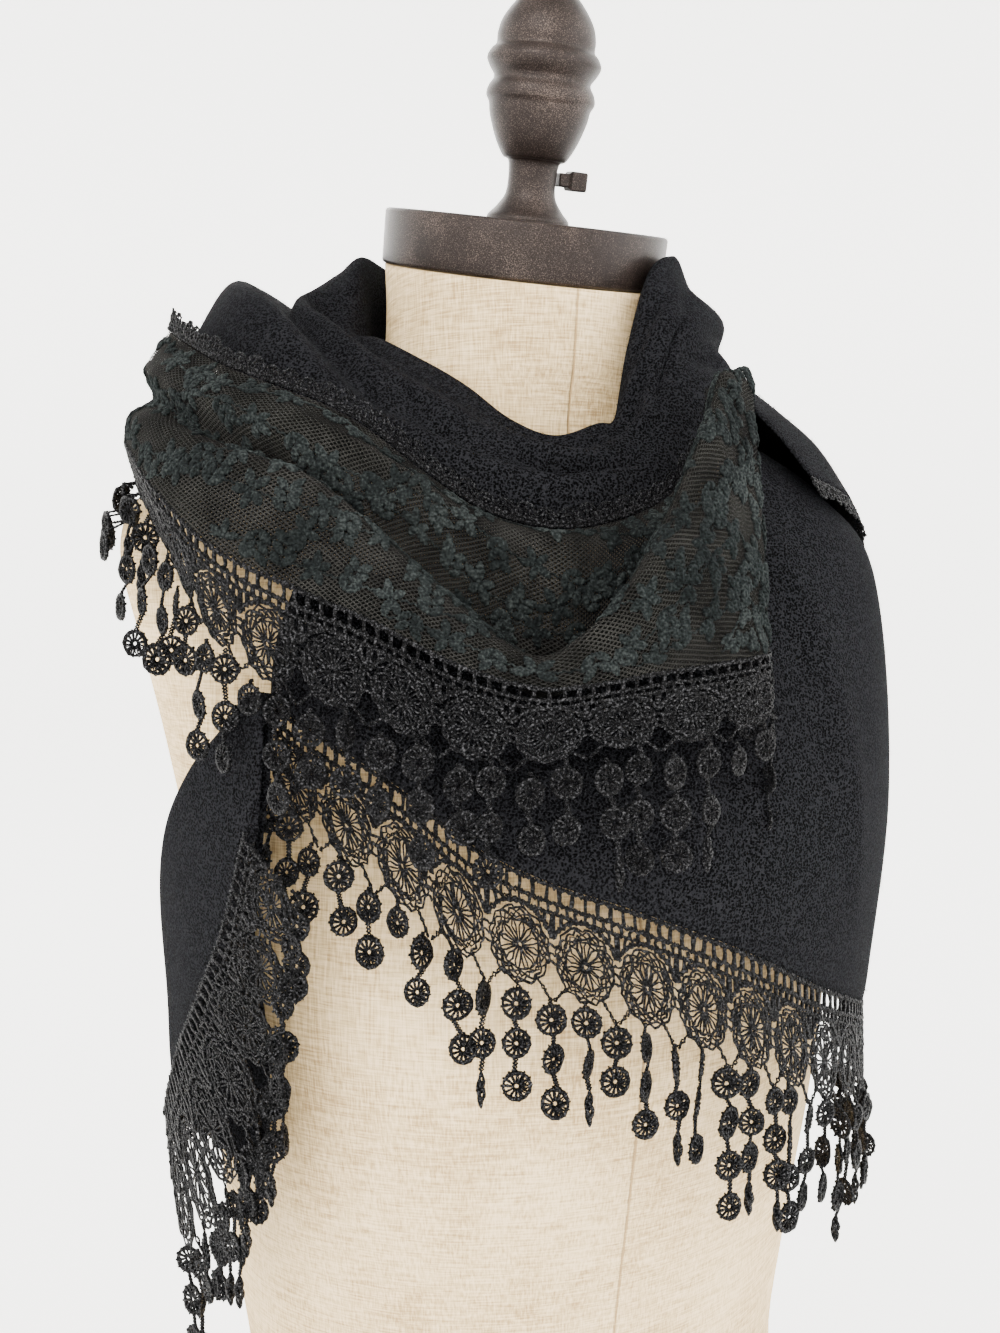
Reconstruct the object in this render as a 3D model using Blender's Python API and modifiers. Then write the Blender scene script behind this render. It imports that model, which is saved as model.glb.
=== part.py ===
"""Lace shawl wound round a limbless dress form, in metres, +Z up.

The form stands on the floor at z = 0, with its neck axis on the Z axis and its chest facing -Y.
Each stretch of the shawl is a thin wall lofted through sections that stand round the neck axis.
A section is given in degrees from the front, turning towards +X, and in radii and heights in mm.
"""

import math

import bmesh
import bpy
import numpy as np
from mathutils import Matrix

MM = 0.001

# Driving dimensions of the form
FORM_HEIGHT = 0.700
CAP_RADIUS = 0.0615
CAP_HEIGHT = 0.0225
CAP_TILT = math.radians(17)
FINIAL_HEIGHT = 0.0915
FORM_SIDES = 36
FORM_CREASE = math.radians(50)
CAP_SIDES = 48
CAP_RIM = 0.0012
FINIAL_STEPS = 28
FIT = 0.0004

# Driving dimensions of the cloth
KNIT_WALL = 0.0022
TULLE_WALL = 0.0010
LACE_WALL = 0.0016
FRINGE_WALL = 0.0020
SEAM_GAP = 0.0014
PICOT_WIDTH = 0.0080
PICOT_GAP = 0.0020
PICOT_LEAN = 0.20
TRIM_WIDTH = 0.0090
TRIM_GAP = 0.0018
TRIM_LEAN = 0.50

# Driving dimensions of the set screw
STEM_RADIUS = 0.0113
SCREW_RISE = 0.0185
SCREW_HEAD = 0.0078
SCREW_BOSS = 0.0050
BOSS_INSET = 0.0016
SCREW_EDGE = 0.0006

# Cells of each grid: along the cloth, then down its panel, band and fringe
WRAP_CELLS = (44, 9)
COWL_CELLS = (34, 10, 3, 2)
FRONT_CELLS = (34, 7, 3, 2)
SHOULDER_CELLS = (9, 6)
BACK_CELLS = (22, 6)
BACK_HEM_CELLS = (26, 3, 2)
TRIM_CELLS = 6
TAIL_CELLS = (11, 9)
TAIL_EDGE_CELLS = (10, 4, 2)

# Rings of the torso, in mm. "tilt" is the share of the cap's tilt that a ring takes.
# height, half_width, front, back, tilt
TORSO = (
    (0, 165, 100, 118, 0),
    (50, 167, 103, 121, 0),
    (120, 152, 100, 108, 0),
    (200, 124, 90, 88, 0),
    (270, 129, 97, 88, 0),
    (340, 138, 111, 92, 0),
    (400, 142, 121, 96, 0),
    (450, 146, 115, 98, 0),
    (500, 155, 103, 97, 0),
    (540, 164, 85, 91, 0),
    (570, 171, 67, 81, 0),
    (586, 171, 58, 73, 0),
    (597, 166, 54, 69, 0),
    (607, 151, 52, 66, 0),
    (617, 119, 51, 64, 0),
    (630, 85, 51, 61, 0),
    (645, 67, 53, 59.5, 0.2),
    (661, 61, 56, 59, 0.5),
    (681, 59.5, 58, 59, 0.8),
    (700, 60, 59.8, 59.8, 1.0),
)

# Turned outline of the finial, from the cap up, in mm
# height, radius
FINIAL = (
    (0.0, 18.0),
    (2.0, 17.5),
    (6.0, 14.0),
    (12.5, 10.6),
    (24.5, 10.8),
    (27.0, 13.8),
    (34.0, 17.6),
    (43.0, 20.7),
    (48.0, 21.6),
    (51.0, 23.0),
    (54.5, 22.4),
    (58.5, 20.4),
    (62.5, 22.7),
    (65.8, 24.0),
    (69.0, 22.7),
    (71.5, 20.6),
    (76.0, 20.5),
    (82.0, 18.8),
    (89.5, 13.6),
    (94.0, 8.2),
    (96.5, 0.0),
)

# Knit wrap: a turned-over roll of boucle knit, all the way round the neck
WRAP_LINES = ("inside", "lip", "groove", "second_roll", "dip", "first_roll", "low")
WRAP = (
    (-180, 66, 676, 68, 708, 77, 703, 86, 696, 92, 682, 100, 672, 105, 650),
    (-150, 66, 676, 69, 708, 79, 704, 88, 696, 94, 683, 106, 677, 113, 654),
    (-120, 66, 672, 70, 709, 80, 705, 88, 697, 95, 683, 116, 692, 132, 662),
    (-103, 67, 668, 72, 695, 81, 691, 92, 690, 100, 680, 121, 692, 139, 664),
    (-92, 68, 657, 77, 671, 86, 668, 97, 682, 105, 674, 124, 687, 141, 662),
    (-75, 67, 653, 72, 664, 82, 658, 95, 668, 104, 659, 124, 672, 139, 643),
    (-55, 66, 643, 70, 652, 80, 645, 91, 645, 101, 632, 115, 632, 124, 608),
    (-40, 65, 627, 69, 641, 79, 633, 88, 632, 98, 620, 106, 617, 110, 597),
    (-25, 65, 608, 71, 627, 80, 619, 89, 618, 95, 609, 99, 605, 100, 585),
    (-12, 66, 602, 73, 621, 81, 613, 89, 613, 94, 606, 98, 602, 98, 582),
    (1, 66, 606, 73, 626, 81, 618, 88, 618, 93, 611, 97, 605, 98, 585),
    (9, 66, 610, 73, 630, 80, 622, 87, 624, 92, 616, 97, 610, 99, 590),
    (17, 65, 636, 69, 660, 77, 651, 84, 648, 90, 634, 96, 621, 99, 599),
    (28, 64, 662, 68, 690, 75, 681, 84, 670, 88, 653, 95, 638, 99, 612),
    (43, 64, 672, 68, 700, 74, 688, 85, 676, 85, 664, 92, 652, 98, 626),
    (62, 65, 674, 67, 702, 74, 689, 87, 678, 85, 665, 92, 655, 98, 634),
    (90, 66, 676, 67, 704, 76, 694, 91, 684, 91, 671, 97, 661, 103, 640),
    (115, 66, 676, 67, 706, 76, 699, 89, 690, 92, 676, 98, 667, 104, 645),
    (145, 66, 676, 68, 707, 77, 702, 87, 694, 92, 680, 99, 670, 105, 648),
)

# Cowl: embroidered tulle in two swags, then its crochet band and its fringe.
# "lean" turns the hem and what hangs below it, in degrees, from the section's own angle.
COWL_LINES = ("top", "ridge", "valley", "lip", "hem", "scallop", "ends")
COWL = (
    (-118, 0, 137, 668, 145, 657, 144, 646, 150, 638, 153, 628, 158, 600, 171, 556),
    (-95, 0, 150, 668, 158, 653, 155, 640, 164, 633, 166, 624, 163, 607, 187, 578),
    (-80, 0, 150, 656, 163, 645, 160, 634, 169, 627, 172, 615, 167, 596, 178, 548),
    (-70, 0, 147, 645, 160, 634, 156, 622, 167, 619, 174, 599, 169, 577, 177, 526),
    (-60, 0, 140, 635, 154, 625, 149, 608, 160, 610, 171, 579, 171, 549, 174, 499),
    (-50, 0, 129, 624, 143, 613, 140, 593, 151, 600, 165, 566, 168, 532, 169, 482),
    (-40, 0, 116, 606, 130, 600, 127, 568, 143, 579, 159, 554, 162, 523, 163, 474),
    (-30, 0, 108, 592, 120, 586, 118, 546, 139, 557, 154, 540, 157, 511, 158, 467),
    (-20, 0, 105, 586, 116, 578, 117, 528, 139, 540, 151, 532, 154, 508, 155, 462),
    (-12, 0, 105, 585, 115, 577, 116, 532, 138, 549, 150, 533, 153, 512, 154, 462),
    (-5, 0, 105, 587, 115, 579, 116, 548, 137, 571, 150, 536, 153, 513, 154, 462),
    (2, 0, 105, 591, 115, 585, 117, 568, 135, 597, 150, 538, 153, 514, 154, 462),
    (9, 0, 106, 598, 115, 594, 118, 592, 130, 624, 150, 540, 153, 517, 154, 465),
    (16, -3, 107, 612, 112, 613, 115, 616, 122, 637, 149, 541, 152, 520, 153, 472),
    (24, -10, 107, 628, 109, 631, 113, 635, 120, 640, 147, 542, 150, 521, 151, 476),
    (25, -11, 105, 629, 106, 631, 109, 633, 114, 635, 142, 543, 145, 524, 146, 482),
    (18, -11, 104, 629, 105, 630, 107, 631, 110, 632, 140, 544, 143, 527, 144, 486),
)

# The picot trim stops this many columns before the tulle's right fold
PICOT_END = -6

# Lower front: a knit panel from the right shoulder across the chest, its band and its fringe
FRONT_LINES = ("top", "upper", "chest", "middle", "hem", "scallop", "ends")
FRONT = (
    (-57, 0, 132, 578, 141, 562, 148, 548, 151, 535, 152, 523, 153, 495, 154, 437),
    (-50, 0, 128, 572, 138, 556, 145, 541, 148, 528, 149, 514, 150, 479, 150, 421),
    (-38, 0, 112, 560, 125, 542, 136, 525, 143, 510, 145, 496, 146, 458, 146, 402),
    (-28, 0, 105, 552, 118, 530, 131, 509, 140, 492, 143, 477, 144, 438, 144, 384),
    (-18, 0, 103, 545, 114, 522, 129, 500, 139, 481, 142, 465, 143, 429, 143, 374),
    (-8, 0, 103, 548, 115, 522, 130, 498, 139, 475, 142, 456, 143, 419, 143, 366),
    (2, 0, 103, 560, 116, 532, 131, 503, 140, 472, 143, 446, 144, 407, 144, 348),
    (10, 0, 103, 580, 116, 550, 132, 512, 142, 470, 144, 437, 145, 397, 145, 338),
    (18, 0, 105, 595, 121, 563, 134, 526, 145, 475, 145, 427, 146, 386, 146, 325),
    (27, 0, 107, 608, 119, 582, 134, 545, 149, 480, 147, 415, 148, 373, 148, 313),
    (37, 0, 104, 617, 120, 598, 140, 563, 154, 483, 149, 404, 150, 364, 150, 306),
    (48, 0, 104, 620, 126, 602, 148, 568, 157, 482, 150, 393, 151, 356, 151, 300),
    (58, 0, 104, 620, 128, 602, 151, 569, 159, 478, 150, 385, 151, 349, 151, 296),
    (67, 0, 104, 620, 128, 602, 151, 568, 160, 474, 150, 380, 151, 346, 151, 294),
    (68, 0, 101, 618, 124, 600, 147, 567, 156, 473, 147, 380, 148, 348, 148, 298),
    (60, 0, 100, 618, 122, 600, 144, 566, 152, 473, 143, 382, 144, 351, 144, 301),
)

# Back: a knit panel from over the right shoulder round to the left one, its band and its fringe
BACK_LINES = ("top", "upper", "brow", "hem", "scallop", "ends")
BACK = (
    (40, 0, 101, 642, 108, 633, 118, 622, 129, 608, 132, 587, 136, 542),
    (56, 0, 100, 646, 111, 637, 127, 622, 142, 599, 145, 578, 150, 528),
    (70, 0, 101, 650, 113, 639, 133, 619, 151, 583, 155, 561, 161, 510),
    (80, 0, 104, 656, 118, 639, 147, 617, 164, 580, 169, 553, 174, 503),
    (92, 0, 108, 661, 128, 639, 161, 618, 181, 586, 185, 553, 188, 501),
    (108, 0, 110, 664, 132, 635, 152, 606, 164, 567, 167, 535, 169, 483),
    (130, 0, 111, 665, 125, 630, 136, 596, 143, 550, 145, 517, 147, 465),
    (155, 0, 111, 666, 118, 625, 124, 584, 130, 538, 132, 505, 134, 453),
    (180, 0, 110, 667, 116, 622, 121, 578, 126, 532, 128, 499, 130, 447),
    (205, 0, 112, 667, 121, 628, 129, 592, 136, 550, 138, 517, 140, 465),
    (225, 0, 121, 667, 135, 642, 143, 618, 148, 590, 152, 559, 157, 509),
    (242, 0, 137, 668, 144, 656, 149, 643, 153, 628, 158, 600, 171, 556),
)

# Stretches of the back, in rows of its table: the shoulder, its trim, the rest, and the whole hem
SHOULDER_ROWS = (0, 3.95)
TRIM_ROWS = (0, 2.8)
BACK_ROWS = (4.05, 10.975)
HEM_ROWS = (3, 10.975)

# Left tail: a strip of knit folded once lengthwise, hanging below the left shoulder.
# It is cut across by height: the edge that carries the band, the fold, and the inner edge.
# height, edge, fold, inner, outer_radius, inner_radius
TAIL = (
    (528, -54, -57.5, -54.4, 163.5, 157.5),
    (514, -54, -62, -54.6, 164, 158),
    (498, -54.5, -69, -55.2, 164, 158),
    (472, -56, -77.5, -57, 163.5, 157.5),
    (440, -61, -84, -59.6, 161, 155),
    (402, -73, -86, -59, 158, 151),
    (375, -80, -86.5, -59, 157, 150.5),
    (350, -82, -86, -60, 155, 149.5),
)

# How far before its fold the tail starts to turn, in degrees
FOLD_TURN = 1.2

# Band and fringe of the left tail: from the tail's edge, out and down
TAIL_EDGE_LINES = ("seam", "middle", "scallop", "ends")
# theta, radius, height of each line in turn
TAIL_EDGE = (
    (-56, 167.5, 482, -53, 167, 472, -49, 165, 462, -49, 164, 405),
    (-61, 166, 446, -57, 165, 436, -52, 163, 427, -52, 162, 370),
    (-68, 163.5, 417, -62, 162, 404, -56, 160, 392, -56, 160, 335),
    (-75, 162, 393, -69, 161, 374, -62, 160, 354, -62, 160, 297),
    (-81, 161, 371, -76, 160, 348, -70, 159, 322, -70, 159, 265),
    (-87, 160, 352, -84, 159, 328, -81, 158, 302, -81, 158, 240),
)

# Surface finishes: red, green, blue, roughness, metallic
FINISHES = {
    "linen": (0.62, 0.54, 0.41, 0.9, 0.0),
    "bronze": (0.09, 0.07, 0.065, 0.38, 0.9),
    "knit": (0.012, 0.013, 0.016, 1.0, 0.0),
    "tulle": (0.022, 0.027, 0.026, 0.95, 0.0),
    "crochet": (0.016, 0.015, 0.017, 0.8, 0.0),
}


def clear_scene():
    for thing in list(bpy.data.objects):
        bpy.data.objects.remove(thing)


def make_material(name):
    red, green, blue, roughness, metallic = FINISHES[name]
    material = bpy.data.materials.new(name)
    material.use_nodes = True
    shader = material.node_tree.nodes["Principled BSDF"]
    shader.inputs["Base Color"].default_value = (red, green, blue, 1.0)
    shader.inputs["Roughness"].default_value = roughness
    shader.inputs["Metallic"].default_value = metallic
    material.diffuse_color = (red, green, blue, 1.0)
    return material


def add_object(name, mesh, material):
    thing = bpy.data.objects.new(name, mesh)
    thing.data.materials.append(material)
    bpy.data.collections["lace shawl on dress form"].objects.link(thing)
    return thing


def resample(rows, positions, closed=False):
    """Catmull-Rom curve through the rows, read at positions counted in rows."""
    rows = np.asarray(rows, float)
    last = len(rows) - 1
    whole = np.floor(positions).astype(int)
    part = positions - whole
    if closed:
        picked = [rows[(whole + step) % len(rows)] for step in (-1, 0, 1, 2)]
    else:
        whole = np.clip(whole, 0, last - 1)
        part = positions - whole
        ends = np.concatenate([[2 * rows[0] - rows[1]], rows, [2 * rows[-1] - rows[-2]]])
        picked = [ends[whole + step] for step in (0, 1, 2, 3)]
    before, start, end, after = picked
    share = part.reshape((-1,) + (1,) * (rows.ndim - 1))
    slope = 2 * before - 5 * start + 4 * end - after
    turn = 3 * start - before - 3 * end + after
    return 0.5 * (2 * start + (end - before) * share + slope * share**2 + turn * share**3)


def polar(theta, radius, height):
    angle = np.radians(theta)
    return np.stack([radius * np.sin(angle), -radius * np.cos(angle), height], axis=-1)


def down_profile(profile, down):
    """The same profiles, each read at even steps from its first point to its last."""
    steps = np.linspace(0, profile.shape[1] - 1, down + 1)
    return np.swapaxes(resample(np.swapaxes(profile, 0, 1), steps), 0, 1)


def fall_points(table, lines, first, last, span, across, down):
    """Grid of points on the part of a fall from one line to another, between two of its rows."""
    top = lines.index(first)
    bottom = lines.index(last)
    rows = resample(table, np.linspace(span[0], span[1], across + 1))
    profile = rows[:, 2:].reshape(across + 1, len(lines), 2)[:, top : bottom + 1] * MM
    profile = down_profile(profile, down)
    reach = np.linspace(top, bottom, down + 1) - lines.index("hem") + 1
    theta = rows[:, :1] + rows[:, 1:2] * np.clip(reach, 0, 1)
    return polar(theta, profile[..., 0], profile[..., 1])


def wrap_points(across, down):
    """Grid of points on the closed knit wrap, with its first section repeated at the end."""
    table = np.array(WRAP, float)
    turn = np.zeros(table.shape[1])
    turn[0] = 360
    around = np.concatenate([table[-1:] - turn, table, table[:3] + turn])
    rows = resample(around, np.linspace(1, 1 + len(table), across + 1))
    profile = rows[:, 1:].reshape(across + 1, len(WRAP_LINES), 2) * MM
    profile = down_profile(profile, down)
    return polar(rows[:, :1], profile[..., 0], profile[..., 1])


def tail_points(across, down):
    """Grid of points on the folded tail: down its length, then round its fold."""
    rows = resample(TAIL, np.linspace(0, len(TAIL) - 1, down + 1))
    height, edge, fold, inner, outer, inside = rows.T
    round_fold = (
        (edge, outer),
        ((edge + fold) / 2, outer),
        (fold + FOLD_TURN, outer),
        (fold, (outer + inside) / 2),
        (fold + FOLD_TURN, inside),
        ((fold + inner) / 2, inside),
        (inner, inside),
    )
    profile = np.array(round_fold).transpose(0, 2, 1)
    profile = resample(profile, np.linspace(0, len(round_fold) - 1, across + 1))
    heights = np.broadcast_to(height * MM, profile.shape[:2])
    return polar(profile[..., 0], profile[..., 1] * MM, heights)


def tail_edge_points(first, last, across, down):
    """Grid of points on the tail's band or fringe."""
    top = TAIL_EDGE_LINES.index(first)
    bottom = TAIL_EDGE_LINES.index(last)
    rows = resample(TAIL_EDGE, np.linspace(0, len(TAIL_EDGE) - 1, across + 1))
    profile = rows.reshape(across + 1, len(TAIL_EDGE_LINES), 3)[:, top : bottom + 1]
    profile = down_profile(profile, down)
    return polar(profile[..., 0], profile[..., 1] * MM, profile[..., 2] * MM)


def lowered(points, gap):
    """The same grid, with its top row lowered along the cloth to leave a seam gap."""
    points = points.copy()
    along = points[:, 1] - points[:, 0]
    length = np.linalg.norm(along, axis=1, keepdims=True)
    points[:, 0] += along / length * gap
    return points


def trim_below(edge, width, gap, outwards):
    """Grid for a narrow trim that hangs from an edge, one facet deep."""
    fall = np.array([0.0, 0.0, -1.0])
    away = edge * [1, 1, 0]
    away = away / np.linalg.norm(away, axis=1, keepdims=True)
    direction = fall + away * outwards
    direction = direction / np.linalg.norm(direction, axis=1, keepdims=True)
    return np.stack([edge + direction * gap, edge + direction * (gap + width)], axis=1)


def sheet_mesh(name, points, closed):
    """Open sheet of quads through a grid, its faces turned away from the neck axis."""
    across, down = points.shape[:2]
    if closed:
        points = points[:-1]
        across -= 1
    builder = bmesh.new()
    corners = [builder.verts.new(point) for point in points.reshape(-1, 3)]
    columns = across if closed else across - 1
    for column in range(columns):
        beside = (column + 1) % across
        for row in range(down - 1):
            here = column * down + row
            there = beside * down + row
            builder.faces.new((corners[here], corners[here + 1], corners[there + 1], corners[there]))
    mesh = bpy.data.meshes.new(name)
    builder.to_mesh(mesh)
    builder.free()
    mesh.shade_smooth()
    return mesh


def make_cloth(name, points, wall, material, closed=False):
    """A stretch of cloth: a sheet through the grid, thickened evenly to both sides."""
    cloth = add_object(name, sheet_mesh(name, points, closed), material)
    thickness = cloth.modifiers.new("wall", "SOLIDIFY")
    thickness.thickness = wall
    thickness.offset = 0.0
    return cloth


def torso_ring(row):
    """One ring of the torso: two half ellipses, with one depth at the front and one at the back."""
    height, half_width, front, back, tilt = row
    angle = np.linspace(0, 2 * math.pi, FORM_SIDES, endpoint=False)
    side = np.sin(angle)
    forward = np.cos(angle)
    x = half_width * side
    y = -forward * np.where(forward > 0, front, back)
    z = height + y * tilt * math.tan(CAP_TILT)
    return np.stack([x, y, z], axis=1) * MM


def make_torso(material):
    """The closed torso: rings lofted from the flat base up to the tilted neck."""
    rows = resample(TORSO, np.linspace(0, len(TORSO) - 1, 2 * len(TORSO) - 1))
    builder = bmesh.new()
    rings = [[builder.verts.new(point) for point in torso_ring(row)] for row in rows]
    for low, high in zip(rings, rings[1:]):
        for here in range(FORM_SIDES):
            beside = (here + 1) % FORM_SIDES
            builder.faces.new((low[here], high[here], high[beside], low[beside]))
    builder.faces.new(rings[0])
    builder.faces.new(rings[-1][::-1])
    bmesh.ops.recalc_face_normals(builder, faces=builder.faces)
    mesh = bpy.data.meshes.new("form_torso")
    builder.to_mesh(mesh)
    builder.free()
    mesh.shade_smooth()
    mesh.set_sharp_from_angle(angle=FORM_CREASE)
    return add_object("form_torso", mesh, material)


def cap_frame():
    """Frame at the centre of the neck's tilted top, its Z axis along the cap and the finial."""
    return Matrix.Translation((0, 0, FORM_HEIGHT)) @ Matrix.Rotation(CAP_TILT, 4, "X")


def make_cap(material):
    builder = bmesh.new()
    rise = Matrix.Translation((0, 0, FIT + CAP_HEIGHT / 2))
    bmesh.ops.create_cone(
        builder,
        cap_ends=True,
        segments=CAP_SIDES,
        radius1=CAP_RADIUS,
        radius2=CAP_RADIUS,
        depth=CAP_HEIGHT,
        matrix=rise,
    )
    mesh = bpy.data.meshes.new("form_neck_cap")
    builder.to_mesh(mesh)
    builder.free()
    cap = add_object("form_neck_cap", mesh, material)
    cap.matrix_world = cap_frame()
    rim = cap.modifiers.new("rim", "BEVEL")
    rim.width = CAP_RIM
    rim.segments = 2
    rim.limit_method = "ANGLE"
    return cap


def make_finial(material):
    """The turned finial: its outline, smoothed, spun round the cap's axis."""
    outline = resample(FINIAL, np.linspace(0, len(FINIAL) - 1, 2 * len(FINIAL) - 1)) * MM
    outline[:, 0] *= FINIAL_HEIGHT / outline[-1, 0]
    outline[-1, 1] = 0.0
    centre = np.array([[outline[0, 0], 0.0]])
    outline = np.concatenate([centre, outline])[::-1]
    builder = bmesh.new()
    corners = [builder.verts.new((abs(radius), 0.0, height)) for height, radius in outline]
    for start, end in zip(corners, corners[1:]):
        builder.edges.new((start, end))
    mesh = bpy.data.meshes.new("form_finial")
    builder.to_mesh(mesh)
    builder.free()
    finial = add_object("form_finial", mesh, material)
    finial.matrix_world = cap_frame() @ Matrix.Translation((0, 0, CAP_HEIGHT + 2 * FIT))
    turning = finial.modifiers.new("turning", "SCREW")
    turning.steps = FINIAL_STEPS
    turning.render_steps = FINIAL_STEPS
    turning.use_merge_vertices = True
    turning.merge_threshold = 0.00001
    turning.use_normal_calculate = True
    return finial


def make_set_screw(material):
    """The fixed set screw in the finial's stem: a boss against the stem and a square head."""
    builder = bmesh.new()
    bmesh.ops.create_cube(builder, size=SCREW_HEAD)
    inward = [face for face in builder.faces if face.normal.x < -0.5]
    bmesh.ops.inset_region(builder, faces=inward, thickness=BOSS_INSET)
    grown = bmesh.ops.extrude_face_region(builder, geom=inward)
    moved = [item for item in grown["geom"] if isinstance(item, bmesh.types.BMVert)]
    bmesh.ops.delete(builder, geom=inward, context="FACES_ONLY")
    bmesh.ops.translate(builder, vec=(-SCREW_BOSS, 0, 0), verts=moved)
    bmesh.ops.recalc_face_normals(builder, faces=builder.faces)
    mesh = bpy.data.meshes.new("form_set_screw")
    builder.to_mesh(mesh)
    builder.free()
    screw = add_object("form_set_screw", mesh, material)
    out = STEM_RADIUS + FIT + SCREW_BOSS + SCREW_HEAD / 2
    rise = CAP_HEIGHT + 2 * FIT + SCREW_RISE
    screw.matrix_world = cap_frame() @ Matrix.Translation((out, 0, rise))
    edges = screw.modifiers.new("edges", "BEVEL")
    edges.width = SCREW_EDGE
    edges.segments = 1
    edges.limit_method = "ANGLE"
    return screw


def make_form(finishes):
    make_torso(finishes["linen"])
    make_cap(finishes["bronze"])
    make_finial(finishes["bronze"])
    make_set_screw(finishes["bronze"])


def make_fall(names, table, lines, span, cells, walls, materials):
    """A panel, its band and its fringe, face to face along the same sections."""
    parts = (("top", "hem"), ("hem", "scallop"), ("scallop", "ends"))
    for name, (first, last), down, wall, material in zip(names, parts, cells[1:], walls, materials):
        points = fall_points(table, lines, first, last, span, cells[0], down)
        if first != "top":
            points = lowered(points, SEAM_GAP)
        make_cloth(name, points, wall, material)


def make_wrap(finishes):
    points = wrap_points(*WRAP_CELLS)
    make_cloth("knit_neck_wrap", points, KNIT_WALL, finishes["knit"], closed=True)


def make_cowl(finishes):
    span = (0, len(COWL) - 1)
    names = ("tulle_cowl", "lace_band_cowl", "fringe_cowl")
    walls = (TULLE_WALL, LACE_WALL, FRINGE_WALL)
    materials = (finishes["tulle"], finishes["crochet"], finishes["crochet"])
    make_fall(names, COWL, COWL_LINES, span, COWL_CELLS, walls, materials)
    tulle = fall_points(COWL, COWL_LINES, "top", "hem", span, *COWL_CELLS[:2])
    picot = trim_below(tulle[:PICOT_END, 0], -PICOT_WIDTH, -PICOT_GAP, PICOT_LEAN)
    make_cloth("picot_trim_cowl", picot, LACE_WALL, finishes["crochet"])


def make_front(finishes):
    span = (0, len(FRONT) - 1)
    names = ("knit_front_panel", "lace_band_front", "fringe_front")
    walls = (KNIT_WALL, LACE_WALL, FRINGE_WALL)
    materials = (finishes["knit"], finishes["crochet"], finishes["crochet"])
    make_fall(names, FRONT, FRONT_LINES, span, FRONT_CELLS, walls, materials)


def make_back(finishes):
    shoulder = fall_points(BACK, BACK_LINES, "top", "hem", SHOULDER_ROWS, *SHOULDER_CELLS)
    make_cloth("knit_right_shoulder", shoulder, KNIT_WALL, finishes["knit"])
    edge = fall_points(BACK, BACK_LINES, "brow", "hem", TRIM_ROWS, TRIM_CELLS, 1)[:, 1]
    trim = trim_below(edge, TRIM_WIDTH, TRIM_GAP, TRIM_LEAN)
    make_cloth("picot_trim_shoulder", trim, LACE_WALL, finishes["crochet"])
    back = fall_points(BACK, BACK_LINES, "top", "hem", BACK_ROWS, *BACK_CELLS)
    make_cloth("knit_back", back, KNIT_WALL, finishes["knit"])
    across, band_down, fringe_down = BACK_HEM_CELLS
    band = fall_points(BACK, BACK_LINES, "hem", "scallop", HEM_ROWS, across, band_down)
    make_cloth("lace_band_back", lowered(band, SEAM_GAP), LACE_WALL, finishes["crochet"])
    fringe = fall_points(BACK, BACK_LINES, "scallop", "ends", HEM_ROWS, across, fringe_down)
    make_cloth("fringe_back", lowered(fringe, SEAM_GAP), FRINGE_WALL, finishes["crochet"])


def make_left_tail(finishes):
    make_cloth("knit_left_tail", tail_points(*TAIL_CELLS), KNIT_WALL, finishes["knit"])
    across, band_down, fringe_down = TAIL_EDGE_CELLS
    band = tail_edge_points("seam", "scallop", across, band_down)
    make_cloth("lace_band_left_tail", band, LACE_WALL, finishes["crochet"])
    fringe = tail_edge_points("scallop", "ends", across, fringe_down)
    make_cloth("fringe_left_tail", lowered(fringe, 2 * SEAM_GAP), FRINGE_WALL, finishes["crochet"])


def main():
    clear_scene()
    collection = bpy.data.collections.new("lace shawl on dress form")
    bpy.context.scene.collection.children.link(collection)
    finishes = {name: make_material(name) for name in FINISHES}
    make_form(finishes)
    make_wrap(finishes)
    make_cowl(finishes)
    make_front(finishes)
    make_back(finishes)
    make_left_tail(finishes)


main()
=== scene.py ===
"""Visual model of a lace shawl on a limbless dress form, in metres, in the frame of its CAD model.

The form stands at z = 0 with its neck axis on the Z axis and its chest facing -Y.
Each stretch of cloth is a fine grid through the same sections as its CAD wall. Knit and net are
meshes on those grids. Crochet, picots, fringe and embroidery are yarns laid on them.
"""

import math

import bpy
import numpy as np
from mathutils import Matrix, Vector


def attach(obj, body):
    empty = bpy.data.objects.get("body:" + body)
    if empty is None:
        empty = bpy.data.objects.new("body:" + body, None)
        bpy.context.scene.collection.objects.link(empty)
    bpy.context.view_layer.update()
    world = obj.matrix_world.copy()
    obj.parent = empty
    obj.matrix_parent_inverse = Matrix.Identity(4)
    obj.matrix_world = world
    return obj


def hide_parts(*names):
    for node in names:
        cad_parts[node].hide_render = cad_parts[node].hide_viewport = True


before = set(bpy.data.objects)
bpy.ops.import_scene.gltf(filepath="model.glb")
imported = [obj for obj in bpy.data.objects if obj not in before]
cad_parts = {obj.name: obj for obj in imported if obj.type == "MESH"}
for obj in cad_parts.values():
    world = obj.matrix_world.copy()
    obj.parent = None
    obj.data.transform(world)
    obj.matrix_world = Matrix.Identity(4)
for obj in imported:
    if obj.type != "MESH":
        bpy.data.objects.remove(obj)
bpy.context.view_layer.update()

MM = 0.001
RANDOM = np.random.default_rng(11)

# Form, in metres. FIT is the gap between its pieces.
FORM_HEIGHT = 0.700
CAP_RADIUS = 0.0615
CAP_HEIGHT = 0.0225
CAP_RIM = 0.0014
CAP_TILT = math.radians(17)
FINIAL_HEIGHT = 0.0915
FIT = 0.0004
TORSO_SIDES = 96
TORSO_RINGS = 105

# Cloth, in metres. A lean is how far a trim stands out for each metre that it falls.
KNIT_WALL = 0.0022
UNDERLAY_GAP = 0.0008
PICOT_WIDTH = 0.0080
PICOT_GAP = 0.0004
PICOT_LEAN = 0.20
TRIM_WIDTH = 0.0090
TRIM_LEAN = 0.50

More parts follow.
